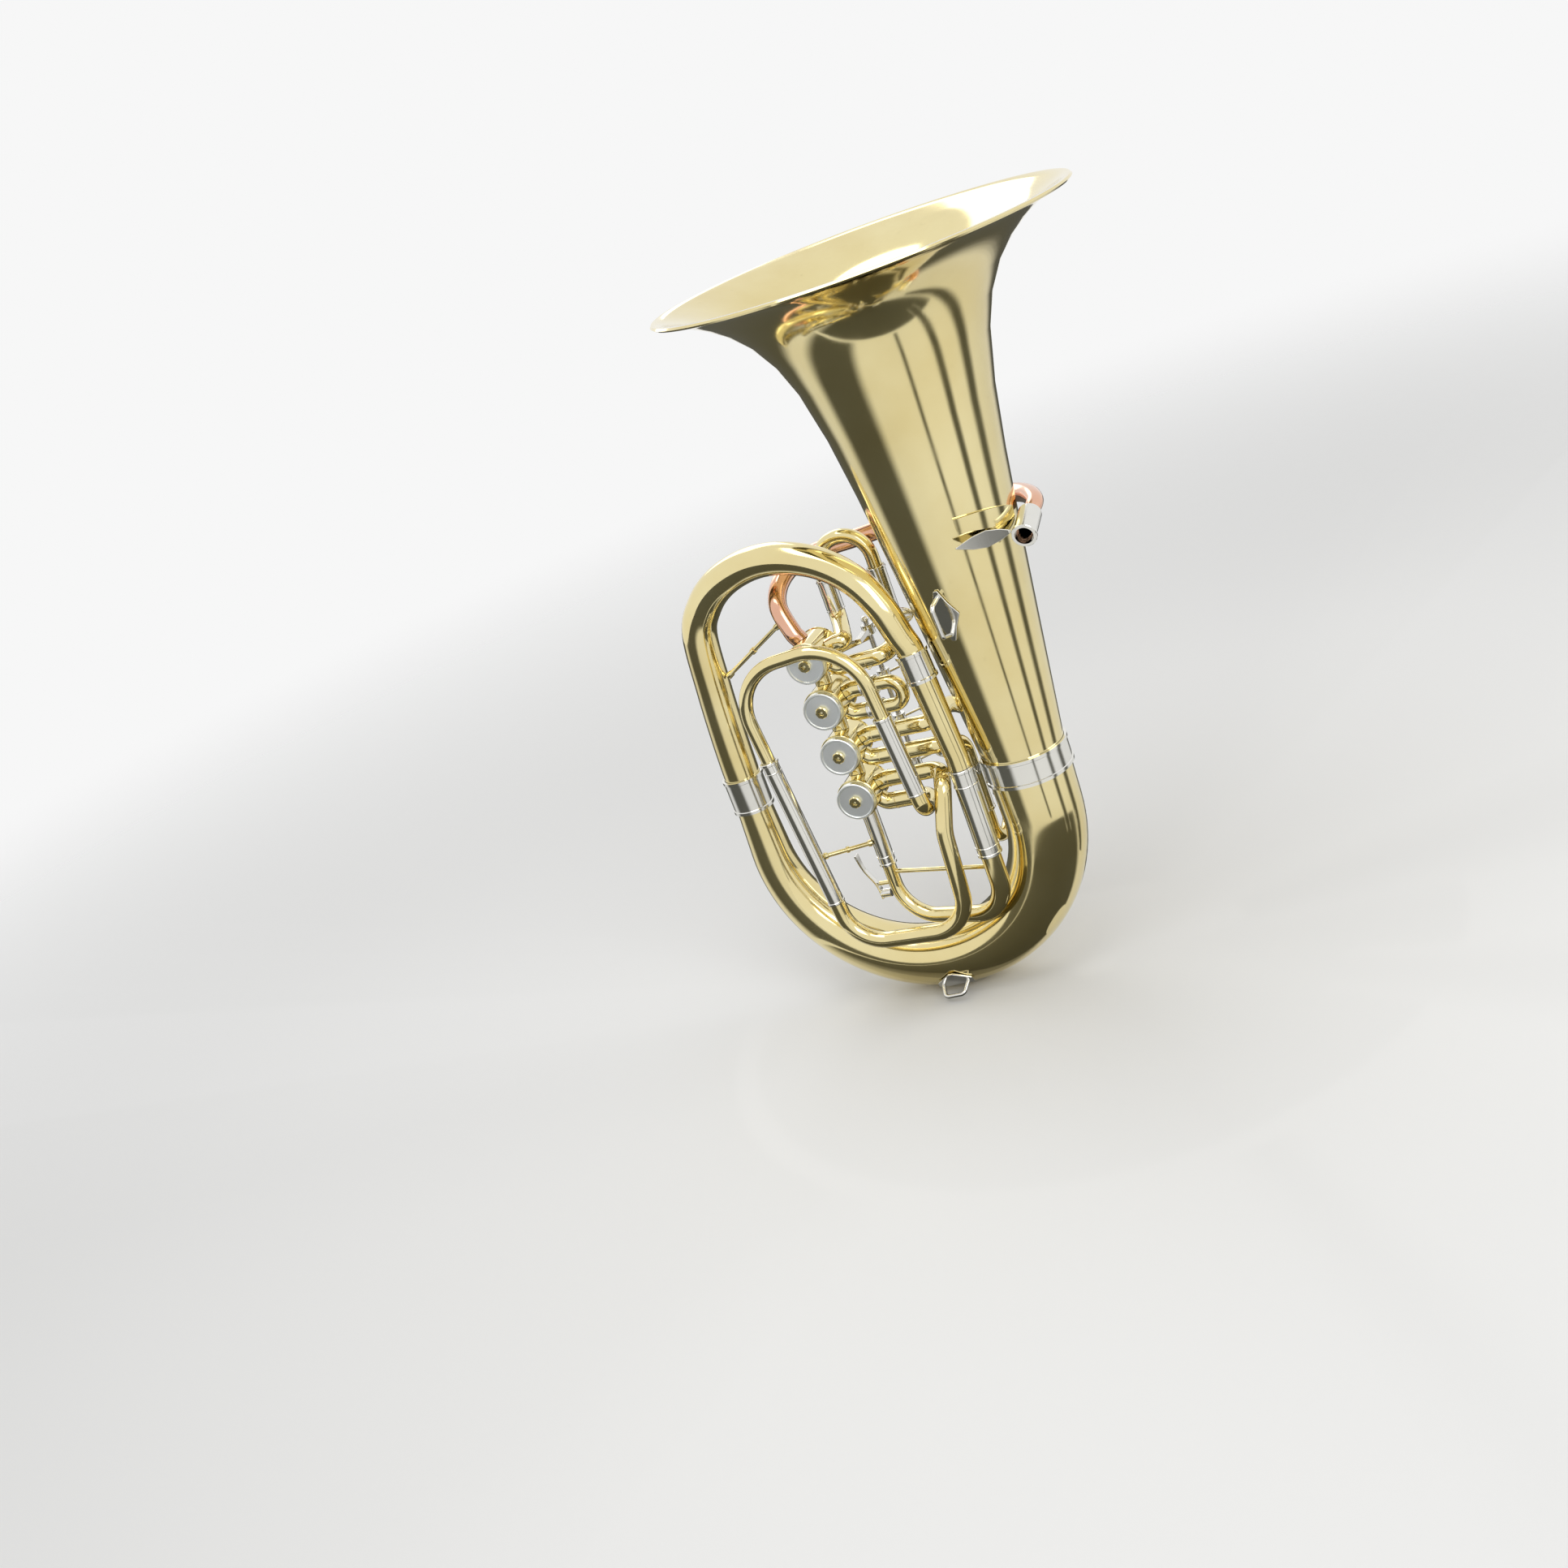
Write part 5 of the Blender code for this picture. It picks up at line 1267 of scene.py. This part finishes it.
def place_pieces():
    """Let every piece move with its body and stand for its node."""
    for name, made in PIECES.items():
        owner = name
        while owner in CARRIERS:
            owner = CARRIERS[owner]
        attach(made, BODY_OF[owner])
        if name in BODY_OF:
            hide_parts(name)


def add_floor():
    """Pale round floor that fades into the backdrop."""
    work = bmesh.new()
    bmesh.ops.create_circle(work, cap_ends=True, segments=96, radius=FLOOR_RADIUS)
    mesh = bpy.data.meshes.new("floor")
    work.to_mesh(mesh)
    work.free()
    floor = add_object("floor", mesh)
    floor.location.z = -FLOOR_DROP
    paint, tree, shader = new_paint("pale_floor")
    fill(shader, {"Base Color": (*FLOOR_COLOUR, 1.0), "Roughness": 0.85})
    place = node(tree, "ShaderNodeTexCoord", {}).outputs["Object"]
    scale = node(tree, "ShaderNodeMapping", {"Vector": place, "Scale": (1 / FLOOR_RADIUS,) * 3})
    vector = {"Vector": scale.outputs["Vector"]}
    reach = node(tree, "ShaderNodeTexGradient", vector, gradient_type="SPHERICAL")
    limits = {"Value": reach.outputs["Fac"], "From Min": 0.05, "From Max": 0.7}
    fade = node(tree, "ShaderNodeMapRange", limits, interpolation_type="SMOOTHSTEP")
    clear = node(tree, "ShaderNodeBsdfTransparent", {})
    mix = node(tree, "ShaderNodeMixShader", {
        "Fac": fade.outputs["Result"],
        1: clear.outputs["BSDF"],
        2: shader.outputs["BSDF"],
    })
    fill(tree.nodes["Material Output"], {"Surface": mix.outputs["Shader"]})
    mesh.materials.append(paint)


def mat_paint():
    """Dark matt paint that pales towards the edges of a mat."""
    paint, tree, shader = new_paint("dark_mat")
    depth = node(tree, "ShaderNodeAttribute", {}, attribute_name="depth")
    ramp = node(tree, "ShaderNodeValToRGB", {"Fac": depth.outputs["Fac"]})
    ramp.color_ramp.interpolation = "EASE"
    ramp.color_ramp.elements[0].color = (*FLOOR_COLOUR, 1.0)
    ramp.color_ramp.elements[1].color = (*MAT_COLOUR, 1.0)
    fill(shader, {"Base Color": ramp.outputs["Color"], "Roughness": 1})
    return paint


def add_mat(paint, name, turns, reaches, soft):
    """Dark ring sector at floor level that only polished metal mirrors."""
    corners = []
    depths = []
    for step in range(MAT_STEPS + 1):
        share = step / MAT_STEPS
        turn = turns[0] + (turns[1] - turns[0]) * share
        depth = min(1.0, min(share, 1.0 - share) / soft)
        corners += [round_place(turn, reach, MAT_HEIGHT) for reach in reaches]
        depths += [depth, depth]
    faces = [(2 * k, 2 * k + 1, 2 * k + 3, 2 * k + 2) for k in range(MAT_STEPS)]
    mesh = bpy.data.meshes.new(name)
    mesh.from_pydata(corners, [], faces)
    mesh.attributes.new("depth", "FLOAT", "POINT").data.foreach_set("value", depths)
    mesh.materials.append(paint)
    mat = add_object(name, mesh)
    mat.visible_camera = False
    mat.visible_diffuse = False
    mat.visible_shadow = False
    mat.visible_transmission = False


def round_place(turn, reach, height):
    """Point at a bearing in degrees and a distance from the bell."""
    angle = radians(turn)
    return (SHIFT.x + reach * cos(angle), reach * sin(angle), height)


def add_lamp(name, place, size, power):
    """Square soft light aimed at the middle of the horn."""
    data = bpy.data.lights.new(name, "AREA")
    data.shape = "SQUARE"
    data.size = size
    data.energy = power
    lamp = add_object(name, data)
    lamp.location = place
    lamp.rotation_euler = (LAMP_AIM - Vector(place)).to_track_quat("-Z", "Y").to_euler()


def add_world():
    """Pale backdrop for the eye and for mirrored rays, and an even fill for the rest."""
    world = bpy.data.worlds.new("studio")
    SCENE.world = world
    world.use_nodes = True
    tree = world.node_tree
    tree.nodes.clear()
    rays = node(tree, "ShaderNodeLightPath", {}).outputs
    seen = rays["Is Camera Ray"]
    for kind in ("Is Glossy Ray", "Is Transmission Ray"):
        seen = node(tree, "ShaderNodeMath", {0: seen, 1: rays[kind]}, operation="MAXIMUM").outputs["Value"]
    even = node(tree, "ShaderNodeBackground", {"Color": (*FILL_COLOUR, 1.0)})
    pale = node(tree, "ShaderNodeBackground", {"Color": (*BACK_COLOUR, 1.0)})
    mix = node(tree, "ShaderNodeMixShader", {
        "Fac": seen,
        1: even.outputs["Background"],
        2: pale.outputs["Background"],
    })
    node(tree, "ShaderNodeOutputWorld", {"Surface": mix.outputs["Shader"]})


def add_stage():
    """Floor, light and background."""
    SCENE.view_settings.view_transform = "Standard"
    add_floor()
    add_world()
    for name, place, size, power in LAMPS:
        add_lamp(name, round_place(*place), size, power)
    paint = mat_paint()
    for mat in MATS:
        add_mat(paint, *mat)


def add_camera():
    """Camera at the photograph's place and roll."""
    data = bpy.data.cameras.new("camera")
    data.sensor_fit = "HORIZONTAL"
    data.sensor_width = SENSOR
    data.lens = SENSOR * FOCAL_SHARE
    data.clip_start = 0.01
    camera = add_object("camera", data)
    camera.location = Vector(CAMERA_PLACE) + SHIFT
    camera.rotation_euler = [radians(turn) for turn in CAMERA_TURNS]
    SCENE.camera = camera


make_bell()
make_bottom_bow()
make_branches()
make_valves()
make_main_slide()
make_first_loop()
make_second_loop()
make_third_loop()
make_fourth_loop()
make_mouthpipe()
make_upper_ring()
make_lower_ring()
add_valve_trim()
add_arch()
soften_edges()
add_overlays()
add_rings()
place_pieces()
add_stage()
add_camera()
